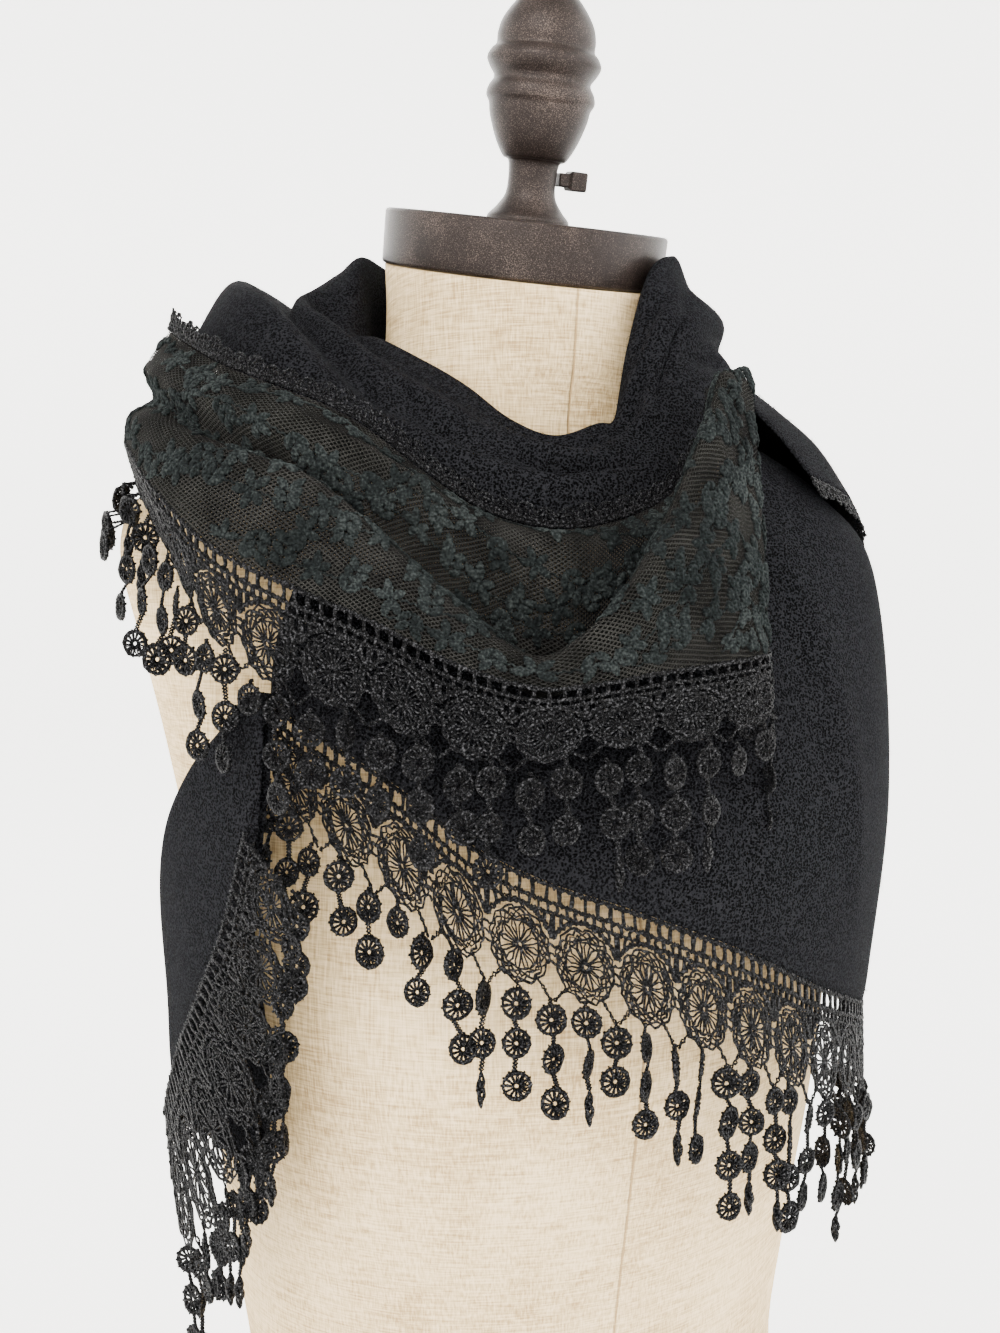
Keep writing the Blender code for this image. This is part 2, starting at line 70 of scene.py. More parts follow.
# Cells of each grid, along the cloth and down it
WRAP_CELLS = (220, 52)
COWL_CELLS = (220, 72)
COWL_LACE_CELLS = (260, 12)
FRONT_CELLS = (160, 72)
FRONT_LACE_CELLS = (200, 12)
FLAP_CELLS = (60, 56)
BACK_CELLS = (120, 48)
BACK_LACE_CELLS = (160, 12)
TAIL_CELLS = (64, 90)
TAIL_LACE_CELLS = (120, 12)

# The net's picots and its dense underlay stop this many columns along, before the sheer right fold
PICOT_COLUMNS = 181
UNDERLAY_COLUMNS = 190

# Crochet pattern, in mm: one flower and what is above it
FLOWER_PITCH = 24.5
FLOWER_CENTRE = 21.6
HUB_RADIUS = 1.2
INNER_RADIUS = 7.2
SCALLOP_RADIUS = 10.9
PETALS = 12
PETAL_REACH = (1.1, 3.0, 5.4, 7.1)
PETAL_SWELL = (0.12, 0.42, 0.85, 0.45)
ARCH_CENTRE = 22.3
ARCH_RADIUS = 13.3
ARCH_TURN = 64
# Ties from the cells down to the arch: place along, top, bottom
ARCH_TIES = ((0.5, 9.2, 16.4), (3.2, 9.2, 12.6))
# Heights of the bars between two flowers, and half their length
LINK_BARS = (18.6, 21.2, 23.8)
LINK_REACH = 2.6
# Braids along the band: height, swing, yarn radius
HEADER_BRAIDS = ((0.8, 0.7, 0.62), (5.9, 0.6, 0.56), (9.0, 0.55, 0.52))
# Bars of the two rows of cells: how many, top, bottom, yarn radius
HEADER_BARS = ((5, 1.2, 5.6, 0.85), (7, 6.2, 8.8, 0.75))
# Wound yarns round a flower: radius, swing, waves, yarn radius, phase
FLOWER_BORDER = ((8.4, 0.75, 13, 0.5, 0.0), (8.5, 0.8, 13, 0.45, 3.0), (9.9, 0.65, 17, 0.55, 1.0))
BAND_DEPTH = 32.0
FRINGE_TOP = 35.5
STITCH = 2.45

# Fringe, in mm: a disc's rim, and the reach and lift of the stitches wound over it
DISC_PITCH = 14.6
DISC_RADIUS = 5.2
DISC_RIM = 4.5
DISC_STITCHES = 12
STITCH_REACH = (0.8, 3.1, 5.3)
STITCH_LIFT = (0.2, 0.7, -0.5)
CHAIN_STITCH = 2.3
CHAIN_SWING = 0.75
CHAIN_LIFT = 0.3
SHORTEST_CHAIN = 1.2
TWIST_SWELL = 1.15
LONGEST_TWIST = 13.0

# Picots, in mm: pitch, the two lines at their foot, and the width and height of each loop as shares
PICOT_PITCH = 7.4
PICOT_LINES = (0.8, 2.2)
PICOT_LOOPS = ((0.5, 1.0), (0.3, 0.72))
# Above this height picots are uneven
PICOT_BASE = 2.3

# Width of the sewn line on the linen, in metres
SEAM_WIDTH = 0.0009

# Net: cell in metres, slant of its threads, the softness of their edges in the wave's values,
# and the wave texture's period at scale 1
NET_CELL = 0.0014
NET_BLUR = 0.12
NET_TURN = math.radians(58)
WAVE_STEP = 0.314

# Embroidery, in mm: places of the vines and motifs, and the margin that leaves keep from an edge
VINE_TOP = 7.0
VINE_APART = 13.5
VINE_SWAY = 4.0
VINE_WAVE = 17.0
MOTIF_APART = 15.5
SIDE_MARGIN = 4.0
EDGE_MARGIN = 3.0

# Light. A lamp has a place, what it points at, a size in metres, a power in watts and a colour.
WORLD_LIGHT = 1.2
FLOOR_GLOW = 1.3
LIGHTS = (
    ("key", (-1.3, -1.6, 1.9), (0, 0, 0.5), 1.4, 60, (1.0, 0.98, 0.95)),
    ("fill", (1.7, -1.3, 1.2), (0, 0, 0.5), 1.6, 28, (0.95, 0.98, 1.0)),
    ("back", (0.3, 1.9, 1.8), (0, 0, 0.6), 1.6, 30, (1.0, 0.99, 0.97)),
)

# Floor, in metres: it is flat out to its bend, and then curves up into a wall
FLOOR_FLAT = 2.2
FLOOR_BEND = 1.6
WALL_HEIGHT = 5.0

# Tones of each finish, from dark to light: place on its ramp, then red, green and blue
LINEN_TONES = (
    (0.62, (0.34, 0.225, 0.105)),
    (0.80, (0.56, 0.405, 0.21)),
    (0.95, (0.72, 0.545, 0.315)),
)
BRONZE_TONES = (
    (0.35, (0.006, 0.0038, 0.0032)),
    (0.72, (0.014, 0.0098, 0.0084)),
    (0.95, (0.10, 0.075, 0.062)),
)
# Knit: the light top stop paints highlights on the loops as grey flecks, over the loops' own random dark
# tone.
KNIT_TONES_WITH_PAINTED_HIGHLIGHTS = (
    (0.58, (0.0003, 0.0003, 0.0003)),
    (0.78, (0.0013, 0.0013, 0.0016)),
    (0.95, (0.011, 0.0112, 0.0128)),
)
# Crochet yarn: the light stops paint glints on the fibres as grey flecks, over the fibres' own random
# dark tone.
YARN_TONES_WITH_PAINTED_GLINTS = (
    (0.44, (0.0006, 0.0006, 0.0007)),
    (0.55, (0.005, 0.005, 0.0055)),
    (0.68, (0.045, 0.045, 0.048)),
)
CHENILLE_TONES = (
    (0.55, (0.0024, 0.0029, 0.0029)),
    (0.78, (0.0085, 0.0103, 0.0102)),
    (0.98, (0.026, 0.030, 0.029)),
)
NET_TONES = ((0.35, (0.008, 0.0078, 0.0072)), (0.65, (0.018, 0.0175, 0.016)))
UNDERLAY_TONES = ((0.35, (0.0016, 0.0016, 0.0015)), (0.65, (0.0040, 0.0040, 0.0036)))
FLOOR_COLOUR = (0.93, 0.925, 0.91, 1)
GLOW_COLOUR = (1.0, 0.995, 0.985, 1)
WORLD_COLOUR = (1.0, 0.985, 0.96, 1)

# Camera: place in metres, lens and sensor in mm
CAMERA_PLACE = (-0.20025, -0.49518, 0.56533)
CAMERA_TURN = math.radians(-21)
CAMERA_PITCH = math.radians(-4)
CAMERA_LENS = 32
CAMERA_SENSOR = 36

# Rings of the torso, in mm. "tilt" is the share of the cap's tilt that a ring takes.
# height, half_width, front, back, tilt
TORSO = (
    (0, 165, 100, 118, 0),
    (50, 167, 103, 121, 0),
    (120, 152, 100, 108, 0),
    (200, 124, 90, 88, 0),
    (270, 129, 97, 88, 0),
    (340, 138, 111, 92, 0),
    (400, 142, 121, 96, 0),
    (450, 146, 115, 98, 0),
    (500, 155, 103, 97, 0),
    (540, 164, 85, 91, 0),
    (570, 171, 67, 81, 0),
    (586, 171, 58, 73, 0),
    (597, 166, 54, 69, 0),
    (607, 151, 52, 66, 0),
    (617, 119, 51, 64, 0),
    (630, 85, 51, 61, 0),
    (645, 67, 53, 59.5, 0.2),
    (661, 61, 56, 59, 0.5),
    (681, 59.5, 58, 59, 0.8),
    (700, 60, 59.8, 59.8, 1.0),
)

# Turned outline of the finial, from the cap up, in mm
# height, radius
FINIAL = (
    (0.0, 18.0),
    (2.0, 17.5),
    (6.0, 14.0),
    (12.5, 10.6),
    (24.5, 10.8),
    (27.0, 13.8),
    (34.0, 17.6),
    (43.0, 20.7),
    (48.0, 21.6),
    (51.0, 23.0),
    (54.5, 22.4),
    (58.5, 20.4),
    (62.5, 22.7),
    (65.8, 24.0),
    (69.0, 22.7),
    (71.5, 20.6),
    (76.0, 20.5),
    (82.0, 18.8),
    (89.5, 13.6),
    (94.0, 8.2),
    (96.5, 0.0),
)

# Knit wrap: a turned-over roll of boucle knit, all the way round the neck
WRAP_LINES = ("inside", "lip", "groove", "second_roll", "dip", "first_roll", "low")
# theta in degrees, then radius and height of each line in turn, in mm
WRAP = (
    (-180, 66, 676, 68, 708, 77, 703, 86, 696, 92, 682, 100, 672, 105, 650),
    (-150, 66, 676, 69, 708, 79, 704, 88, 696, 94, 683, 106, 677, 113, 654),
    (-120, 66, 672, 70, 709, 80, 705, 88, 697, 95, 683, 116, 692, 132, 662),
    (-103, 67, 668, 72, 695, 81, 691, 92, 690, 100, 680, 121, 692, 139, 664),
    (-92, 68, 657, 77, 671, 86, 668, 97, 682, 105, 674, 124, 687, 141, 662),
    (-75, 67, 653, 72, 664, 82, 658, 95, 668, 104, 659, 124, 672, 139, 643),
    (-55, 66, 643, 70, 652, 80, 645, 91, 645, 101, 632, 115, 632, 124, 608),
    (-40, 65, 627, 69, 641, 79, 633, 88, 632, 98, 620, 106, 617, 110, 597),
    (-25, 65, 608, 71, 627, 80, 619, 89, 618, 95, 609, 99, 605, 100, 585),
    (-12, 66, 602, 73, 621, 81, 613, 89, 613, 94, 606, 98, 602, 98, 582),
    (1, 66, 606, 73, 626, 81, 618, 88, 618, 93, 611, 97, 605, 98, 585),
    (9, 66, 610, 73, 630, 80, 622, 87, 624, 92, 616, 97, 610, 99, 590),
    (17, 65, 636, 69, 660, 77, 651, 84, 648, 90, 634, 96, 621, 99, 599),
    (28, 64, 662, 68, 690, 75, 681, 84, 670, 88, 653, 95, 638, 99, 612),
    (43, 64, 672, 68, 700, 74, 688, 85, 676, 85, 664, 92, 652, 98, 626),
    (62, 65, 674, 67, 702, 74, 689, 87, 678, 85, 665, 92, 655, 98, 634),
    (90, 66, 676, 67, 704, 76, 694, 91, 684, 91, 671, 97, 661, 103, 640),
    (115, 66, 676, 67, 706, 76, 699, 89, 690, 92, 676, 98, 667, 104, 645),
    (145, 66, 676, 68, 707, 77, 702, 87, 694, 92, 680, 99, 670, 105, 648),
)

# Cowl: embroidered tulle in two swags, then its crochet band and its fringe.
# "lean" turns the hem and what hangs below it, in degrees, from the section's own angle.
COWL_LINES = ("top", "ridge", "valley", "lip", "hem", "scallop", "ends")
# theta, lean, then radius and height of each line in turn, here and in the next two tables
COWL = (
    (-118, 0, 137, 668, 145, 657, 144, 646, 150, 638, 153, 628, 158, 600, 171, 556),
    (-95, 0, 150, 668, 158, 653, 155, 640, 164, 633, 166, 624, 163, 607, 187, 578),
    (-80, 0, 150, 656, 163, 645, 160, 634, 169, 627, 172, 615, 167, 596, 178, 548),
    (-70, 0, 147, 645, 160, 634, 156, 622, 167, 619, 174, 599, 169, 577, 177, 526),
    (-60, 0, 140, 635, 154, 625, 149, 608, 160, 610, 171, 579, 171, 549, 174, 499),
    (-50, 0, 129, 624, 143, 613, 140, 593, 151, 600, 165, 566, 168, 532, 169, 482),
    (-40, 0, 116, 606, 130, 600, 127, 568, 143, 579, 159, 554, 162, 523, 163, 474),
    (-30, 0, 108, 592, 120, 586, 118, 546, 139, 557, 154, 540, 157, 511, 158, 467),
    (-20, 0, 105, 586, 116, 578, 117, 528, 139, 540, 151, 532, 154, 508, 155, 462),
    (-12, 0, 105, 585, 115, 577, 116, 532, 138, 549, 150, 533, 153, 512, 154, 462),
    (-5, 0, 105, 587, 115, 579, 116, 548, 137, 571, 150, 536, 153, 513, 154, 462),
    (2, 0, 105, 591, 115, 585, 117, 568, 135, 597, 150, 538, 153, 514, 154, 462),
    (9, 0, 106, 598, 115, 594, 118, 592, 130, 624, 150, 540, 153, 517, 154, 465),
    (16, -3, 107, 612, 112, 613, 115, 616, 122, 637, 149, 541, 152, 520, 153, 472),
    (24, -10, 107, 628, 109, 631, 113, 635, 120, 640, 147, 542, 150, 521, 151, 476),
    (25, -11, 105, 629, 106, 631, 109, 633, 114, 635, 142, 543, 145, 524, 146, 482),
    (18, -11, 104, 629, 105, 630, 107, 631, 110, 632, 140, 544, 143, 527, 144, 486),
)

# Lower front: a knit panel from the right shoulder across the chest, its band and its fringe
FRONT_LINES = ("top", "upper", "chest", "middle", "hem", "scallop", "ends")
FRONT = (
    (-57, 0, 132, 578, 141, 562, 148, 548, 151, 535, 152, 523, 153, 495, 154, 437),
    (-50, 0, 128, 572, 138, 556, 145, 541, 148, 528, 149, 514, 150, 479, 150, 421),
    (-38, 0, 112, 560, 125, 542, 136, 525, 143, 510, 145, 496, 146, 458, 146, 402),
    (-28, 0, 105, 552, 118, 530, 131, 509, 140, 492, 143, 477, 144, 438, 144, 384),
    (-18, 0, 103, 545, 114, 522, 129, 500, 139, 481, 142, 465, 143, 429, 143, 374),
    (-8, 0, 103, 548, 115, 522, 130, 498, 139, 475, 142, 456, 143, 419, 143, 366),
    (2, 0, 103, 560, 116, 532, 131, 503, 140, 472, 143, 446, 144, 407, 144, 348),
    (10, 0, 103, 580, 116, 550, 132, 512, 142, 470, 144, 437, 145, 397, 145, 338),
    (18, 0, 105, 595, 121, 563, 134, 526, 145, 475, 145, 427, 146, 386, 146, 325),
    (27, 0, 107, 608, 119, 582, 134, 545, 149, 480, 147, 415, 148, 373, 148, 313),
    (37, 0, 104, 617, 120, 598, 140, 563, 154, 483, 149, 404, 150, 364, 150, 306),
    (48, 0, 104, 620, 126, 602, 148, 568, 157, 482, 150, 393, 151, 356, 151, 300),
    (58, 0, 104, 620, 128, 602, 151, 569, 159, 478, 150, 385, 151, 349, 151, 296),
    (67, 0, 104, 620, 128, 602, 151, 568, 160, 474, 150, 380, 151, 346, 151, 294),
    (68, 0, 101, 618, 124, 600, 147, 567, 156, 473, 147, 380, 148, 348, 148, 298),
    (60, 0, 100, 618, 122, 600, 144, 566, 152, 473, 143, 382, 144, 351, 144, 301),
)

# Back: a knit panel from over the right shoulder round to the left one, its band and its fringe
BACK_LINES = ("top", "upper", "brow", "hem", "scallop", "ends")
BACK = (
    (40, 0, 101, 642, 108, 633, 118, 622, 129, 608, 132, 587, 136, 542),
    (56, 0, 100, 646, 111, 637, 127, 622, 142, 599, 145, 578, 150, 528),
    (70, 0, 101, 650, 113, 639, 133, 619, 151, 583, 155, 561, 161, 510),
    (80, 0, 104, 656, 118, 639, 147, 617, 164, 580, 169, 553, 174, 503),
    (92, 0, 108, 661, 128, 639, 161, 618, 181, 586, 185, 553, 188, 501),
    (108, 0, 110, 664, 132, 635, 152, 606, 164, 567, 167, 535, 169, 483),
    (130, 0, 111, 665, 125, 630, 136, 596, 143, 550, 145, 517, 147, 465),
    (155, 0, 111, 666, 118, 625, 124, 584, 130, 538, 132, 505, 134, 453),
    (180, 0, 110, 667, 116, 622, 121, 578, 126, 532, 128, 499, 130, 447),
    (205, 0, 112, 667, 121, 628, 129, 592, 136, 550, 138, 517, 140, 465),
    (225, 0, 121, 667, 135, 642, 143, 618, 148, 590, 152, 559, 157, 509),
    (242, 0, 137, 668, 144, 656, 149, 643, 153, 628, 158, 600, 171, 556),
)

# Stretches of the back, in rows of its table: the shoulder, its trim, the rest, and the whole hem
SHOULDER_ROWS = (0, 3.95)
TRIM_ROWS = (0, 2.8)
BACK_ROWS = (4.05, 10.975)
HEM_ROWS = (3, 10.975)

# Left tail: a strip of knit folded once lengthwise, hanging below the left shoulder.
# It is cut across by height: the edge that carries the band, the fold, and the inner edge.
# height, edge, fold, inner, outer_radius, inner_radius
TAIL = (
    (528, -54, -57.5, -54.4, 163.5, 157.5),
    (514, -54, -62, -54.6, 164, 158),
    (498, -54.5, -69, -55.2, 164, 158),
    (472, -56, -77.5, -57, 163.5, 157.5),
    (440, -61, -84, -59.6, 161, 155),
    (402, -73, -86, -59, 158, 151),
    (375, -80, -86.5, -59, 157, 150.5),
    (350, -82, -86, -60, 155, 149.5),
)

# How far before its fold the tail starts to turn, in degrees
FOLD_TURN = 1.2

# Band and fringe of the left tail: from the tail's edge, out and down
TAIL_EDGE_LINES = ("seam", "middle", "scallop", "ends")
# theta, radius, height of each line in turn
TAIL_EDGE = (
    (-56, 167.5, 482, -53, 167, 472, -49, 165, 462, -49, 164, 405),
    (-61, 166, 446, -57, 165, 436, -52, 163, 427, -52, 162, 370),
    (-68, 163.5, 417, -62, 162, 404, -56, 160, 392, -56, 160, 335),
    (-75, 162, 393, -69, 161, 374, -62, 160, 354, -62, 160, 297),
    (-81, 161, 371, -76, 160, 348, -70, 159, 322, -70, 159, 265),
    (-87, 160, 352, -84, 159, 328, -81, 158, 302, -81, 158, 240),
)

# Creases: start and end as shares along and down the cloth, then width and height in mm
WRAP_CREASES = (
    (0.30, 0.45, 0.40, 0.75, 5.0, -3.0),
    (0.36, 0.30, 0.52, 0.62, 5.0, 3.2),
    (0.40, 0.55, 0.58, 0.80, 5.5, -3.0),
    (0.52, 0.30, 0.62, 0.62, 4.0, 2.6),
    (0.58, 0.20, 0.70, 0.50, 4.5, 3.0),
    (0.60, 0.60, 0.74, 0.40, 5.0, -3.0),
    (0.66, 0.55, 0.74, 0.85, 5.0, -2.6),
    (0.06, 0.30, 0.14, 0.70, 6.0, 2.4),
    (0.88, 0.35, 0.95, 0.75, 6.0, -2.4),
)
TULLE_CREASES = (
    (0.25, 0.10, 0.62, 0.42, 4.0, 2.2),
    (0.30, 0.55, 0.70, 0.88, 4.5, 2.0),
    (0.74, 0.15, 0.84, 0.90, 5.0, 2.4),
)
FRONT_CREASES = (
    (0.60, 0.05, 0.66, 0.95, 7.0, 2.0),
    (0.42, 0.10, 0.50, 0.90, 6.0, -1.6),
)

# How many fuzz fibres stand on each knit piece
NECK_FUZZ = 2300
FRONT_FUZZ = 1500
FLAP_FUZZ = 350
BACK_FUZZ = 400
TAIL_FUZZ = 500


# Sections and grids

def resample(rows, positions):
    """Catmull-Rom curve through the rows, read at positions counted in rows."""
    rows = np.asarray(rows, float)
    whole = np.clip(np.floor(positions).astype(int), 0, len(rows) - 2)
    share = (positions - whole).reshape((-1,) + (1,) * (rows.ndim - 1))
    ends = np.concatenate([[2 * rows[0] - rows[1]], rows, [2 * rows[-1] - rows[-2]]])
    before, start, end, after = [ends[whole + step] for step in (0, 1, 2, 3)]
    slope = 2 * before - 5 * start + 4 * end - after
    turn = 3 * start - before - 3 * end + after
    return 0.5 * (2 * start + (end - before) * share + slope * share**2 + turn * share**3)


def polar(theta, radius, height):
    angle = np.radians(theta)
    return np.stack([radius * np.sin(angle), -radius * np.cos(angle), height], axis=-1)


def down_profile(profile, down):
    """The same profiles, each read at even steps from its first point to its last."""
    steps = np.linspace(0, profile.shape[1] - 1, down + 1)
    return np.swapaxes(resample(np.swapaxes(profile, 0, 1), steps), 0, 1)


def fall(table, lines, first, last, span, cells):
    """The part of a fall of cloth from one line to another, between two of its rows."""
    across, down = cells
    top = lines.index(first)
    bottom = lines.index(last)
    rows = resample(table, np.linspace(span[0], span[1], across + 1))
    profile = rows[:, 2:].reshape(across + 1, len(lines), 2)[:, top : bottom + 1] * MM
    profile = down_profile(profile, down)
    reach = np.linspace(top, bottom, down + 1) - lines.index("hem") + 1
    theta = rows[:, :1] + rows[:, 1:2] * np.clip(reach, 0, 1)
    return Cloth(polar(theta, profile[..., 0], profile[..., 1]))


def wrap_cloth():
    """The closed knit wrap, with its first section repeated at the end."""
    across, down = WRAP_CELLS
    table = np.array(WRAP, float)
    turn = np.zeros(table.shape[1])
    turn[0] = 360
    around = np.concatenate([table[-1:] - turn, table, table[:3] + turn])
    rows = resample(around, np.linspace(1, 1 + len(table), across + 1))
    profile = rows[:, 1:].reshape(across + 1, len(WRAP_LINES), 2) * MM
    profile = down_profile(profile, down)
    return Cloth(polar(rows[:, :1], profile[..., 0], profile[..., 1]))


def tail_cloth():
    """The folded tail: round its fold, then down its length."""
    across, down = TAIL_CELLS
    rows = resample(TAIL, np.linspace(0, len(TAIL) - 1, down + 1))
    height, edge, fold, inner, outer, inside = rows.T
    round_fold = (
        (edge, outer),
        ((edge + fold) / 2, outer),
        (fold + FOLD_TURN, outer),
        (fold, (outer + inside) / 2),
        (fold + FOLD_TURN, inside),
        ((fold + inner) / 2, inside),
        (inner, inside),
    )
    profile = np.array(round_fold).transpose(0, 2, 1)
    profile = resample(profile, np.linspace(0, len(round_fold) - 1, across + 1))
    heights = np.broadcast_to(height * MM, profile.shape[:2])
    return Cloth(polar(profile[..., 0], profile[..., 1] * MM, heights))


def tail_edge(first, last):
    """The tail's band or its fringe."""
    across, down = TAIL_LACE_CELLS
    top = TAIL_EDGE_LINES.index(first)
    bottom = TAIL_EDGE_LINES.index(last)
    rows = resample(TAIL_EDGE, np.linspace(0, len(TAIL_EDGE) - 1, across + 1))
    profile = rows.reshape(across + 1, len(TAIL_EDGE_LINES), 3)[:, top : bottom + 1]
    profile = down_profile(profile, down)
    return Cloth(polar(profile[..., 0], profile[..., 1] * MM, profile[..., 2] * MM))


def trim_below(edge, width, gap, outwards):
    """A narrow trim that hangs from an edge, or stands on it if its width and gap are negative."""
    fall = np.array([0.0, 0.0, -1.0])
    away = edge * [1, 1, 0]
    away = away / length_of(away)
    direction = fall + away * outwards
    direction = direction / length_of(direction)
    return Cloth(np.stack([edge + direction * gap, edge + direction * (gap + width)], axis=1))


def length_of(vectors):
    return np.maximum(np.linalg.norm(vectors, axis=-1, keepdims=True), 1e-12)


def between(grid, across, down):
    """Values of a grid at places counted in cells, blended between its corners."""
    column = np.clip(np.floor(across).astype(int), 0, grid.shape[0] - 2)
    row = np.clip(np.floor(down).astype(int), 0, grid.shape[1] - 2)
    right = (across - column)[..., None]
    low = (down - row)[..., None]
    upper = grid[column, row] * (1 - right) + grid[column + 1, row] * right
    lower = grid[column, row + 1] * (1 - right) + grid[column + 1, row + 1] * right
    return upper * (1 - low) + lower * low


class Cloth:
    """A stretch of cloth as a grid of points, first along it and then down it."""

    def __init__(self, points):
        self.points = points
        along = np.gradient(points, axis=0)
        down = np.gradient(points, axis=1)
        out = np.cross(down, along)
        self.out = out / length_of(out)
        middle = points[:, points.shape[1] // 2]
        steps = np.linalg.norm(np.diff(middle, axis=0), axis=1)
        self.run = np.concatenate([[0], np.cumsum(steps)])
        steps = np.linalg.norm(np.diff(points, axis=1), axis=2)
        self.drop = np.concatenate([np.zeros((len(points), 1)), np.cumsum(steps, axis=1)], axis=1)
        shares = np.linspace(0, 1, points.shape[1])
        rows = np.arange(points.shape[1])
        depths = zip(self.drop, self.drop[:, -1])
        self.row_of = np.array([np.interp(shares * whole, drop, rows) for drop, whole in depths])

    def length(self):
        return self.run[-1]

    def depth(self, run):
        """How far down the cloth goes, at places along it in metres."""
        return np.interp(run, self.run, self.drop[:, -1])

    def place(self, run, share, lift=0.0):
        """Points and outward directions, from metres along the cloth and the share of the way down."""
        across = np.interp(run, self.run, np.arange(len(self.run)))
        last = self.points.shape[1] - 1
        row = between(self.row_of[..., None], across, np.clip(share, 0, 1) * last)[..., 0]
        out = between(self.out, across, row)
        out = out / length_of(out)
        spot = between(self.points, across, row)
        beyond = (share - np.clip(share, 0, 1))[..., None] * self.depth(run)[..., None]
        above = between(self.points, across, np.clip(row - 1, 0, last))
        down = (spot - above) / length_of(spot - above)
        return spot + out * np.asarray(lift)[..., None] + down * beyond, out

    def creased(self, creases):
        """The same cloth with soft troughs and ridges along lines given as shares of its sides."""
        run = np.linspace(0, 1, self.points.shape[0])[:, None]
        down = np.linspace(0, 1, self.points.shape[1])[None, :]
        deep = self.drop[:, -1].mean()
        move = np.zeros(self.points.shape[:2])
        for start_run, start_down, end_run, end_down, width, height in creases:
            along = np.array([(end_run - start_run) * self.length(), (end_down - start_down) * deep])
            size = np.hypot(*along)
            from_start = [(run - start_run) * self.length(), (down - start_down) * deep]
            share = (from_start[0] * along[0] + from_start[1] * along[1]) / size**2
            apart = (from_start[0] * along[1] - from_start[1] * along[0]) / size
            fade = np.clip(share * 4, 0, 1) * np.clip((1 - share) * 4, 0, 1)
            fade = fade * fade * (3 - 2 * fade)
            move += height * MM * fade * np.exp(-((apart / (width * MM)) ** 2))
        return Cloth(self.points + self.out * move[..., None])


# Meshes

def add_piece(name, points, quads, uvs, material):
    """A mesh of quads as an object that rides on the body."""
    mesh = bpy.data.meshes.new(name)
    mesh.from_pydata(np.asarray(points).reshape(-1, 3), [], np.asarray(quads).reshape(-1, 4))
    if uvs is not None:
        layer = mesh.uv_layers.new(name="UVMap")
        layer.data.foreach_set("uv", np.asarray(uvs, np.float32).ravel())
    mesh.materials.append(material)
    mesh.shade_smooth()
    piece = bpy.data.objects.new(name, mesh)
    bpy.context.scene.collection.objects.link(piece)
    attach(piece, "root")
    return piece


def grid_quads(across, down, first=0, turned=False, closed=False):
    """Quads of a grid with this many points each way, facing out, or in if turned."""
    columns = np.arange(across if closed else across - 1)
    here = columns[:, None] * down + np.arange(down - 1)[None, :]
    there = ((columns + 1) % across)[:, None] * down + np.arange(down - 1)[None, :]
    quads = np.stack([here, here + 1, there + 1, there], axis=-1).reshape(-1, 4) + first
    return quads[:, ::-1] if turned else quads


def add_knit(name, cloth, material, closed=False):
    """A wall of knit with rounded edges, half on each side of its grid."""
    points = cloth.points[:-1] if closed else cloth.points
    out = cloth.out[:-1] if closed else cloth.out
    across, down = points.shape[:2]
    row = np.minimum(np.arange(down), np.arange(down)[::-1])
    column = np.minimum(np.arange(across), np.arange(across)[::-1])
    if closed:
        column = column * 0 + 2
    edge = np.minimum(row[None, :], column[:, None])
    fullness = np.choose(np.clip(edge, 0, 2), [0.35, 0.85, 1.0])
    half = out * (fullness * KNIT_WALL / 2)[..., None]
    corners = np.concatenate([(points + half).reshape(-1, 3), (points - half).reshape(-1, 3)])
    count = across * down
    quads = [grid_quads(across, down, closed=closed)]
    quads.append(grid_quads(across, down, count, True, closed))
    numbers = np.arange(count).reshape(across, down)
    for line, turned in boundary(numbers, closed):
        quads.append(rim_quads(line, count, turned))
    return add_piece(name, corners, np.concatenate(quads), None, material)


def boundary(numbers, closed):
    """The edge lines of a grid's point numbers, and which way each is turned."""
    if closed:
        ring = np.concatenate([numbers, numbers[:1]])
        return ((ring[:, 0], True), (ring[:, -1], False))
    return ((numbers[:, 0], True), (numbers[:, -1], False), (numbers[0], False), (numbers[-1], True))


def rim_quads(line, count, turned):
    """Quads between an edge line on the outer side and the same line on the inner side."""
    quads = np.stack([line[:-1], line[:-1] + count, line[1:] + count, line[1:]], axis=-1)
    return quads[:, ::-1] if turned else quads


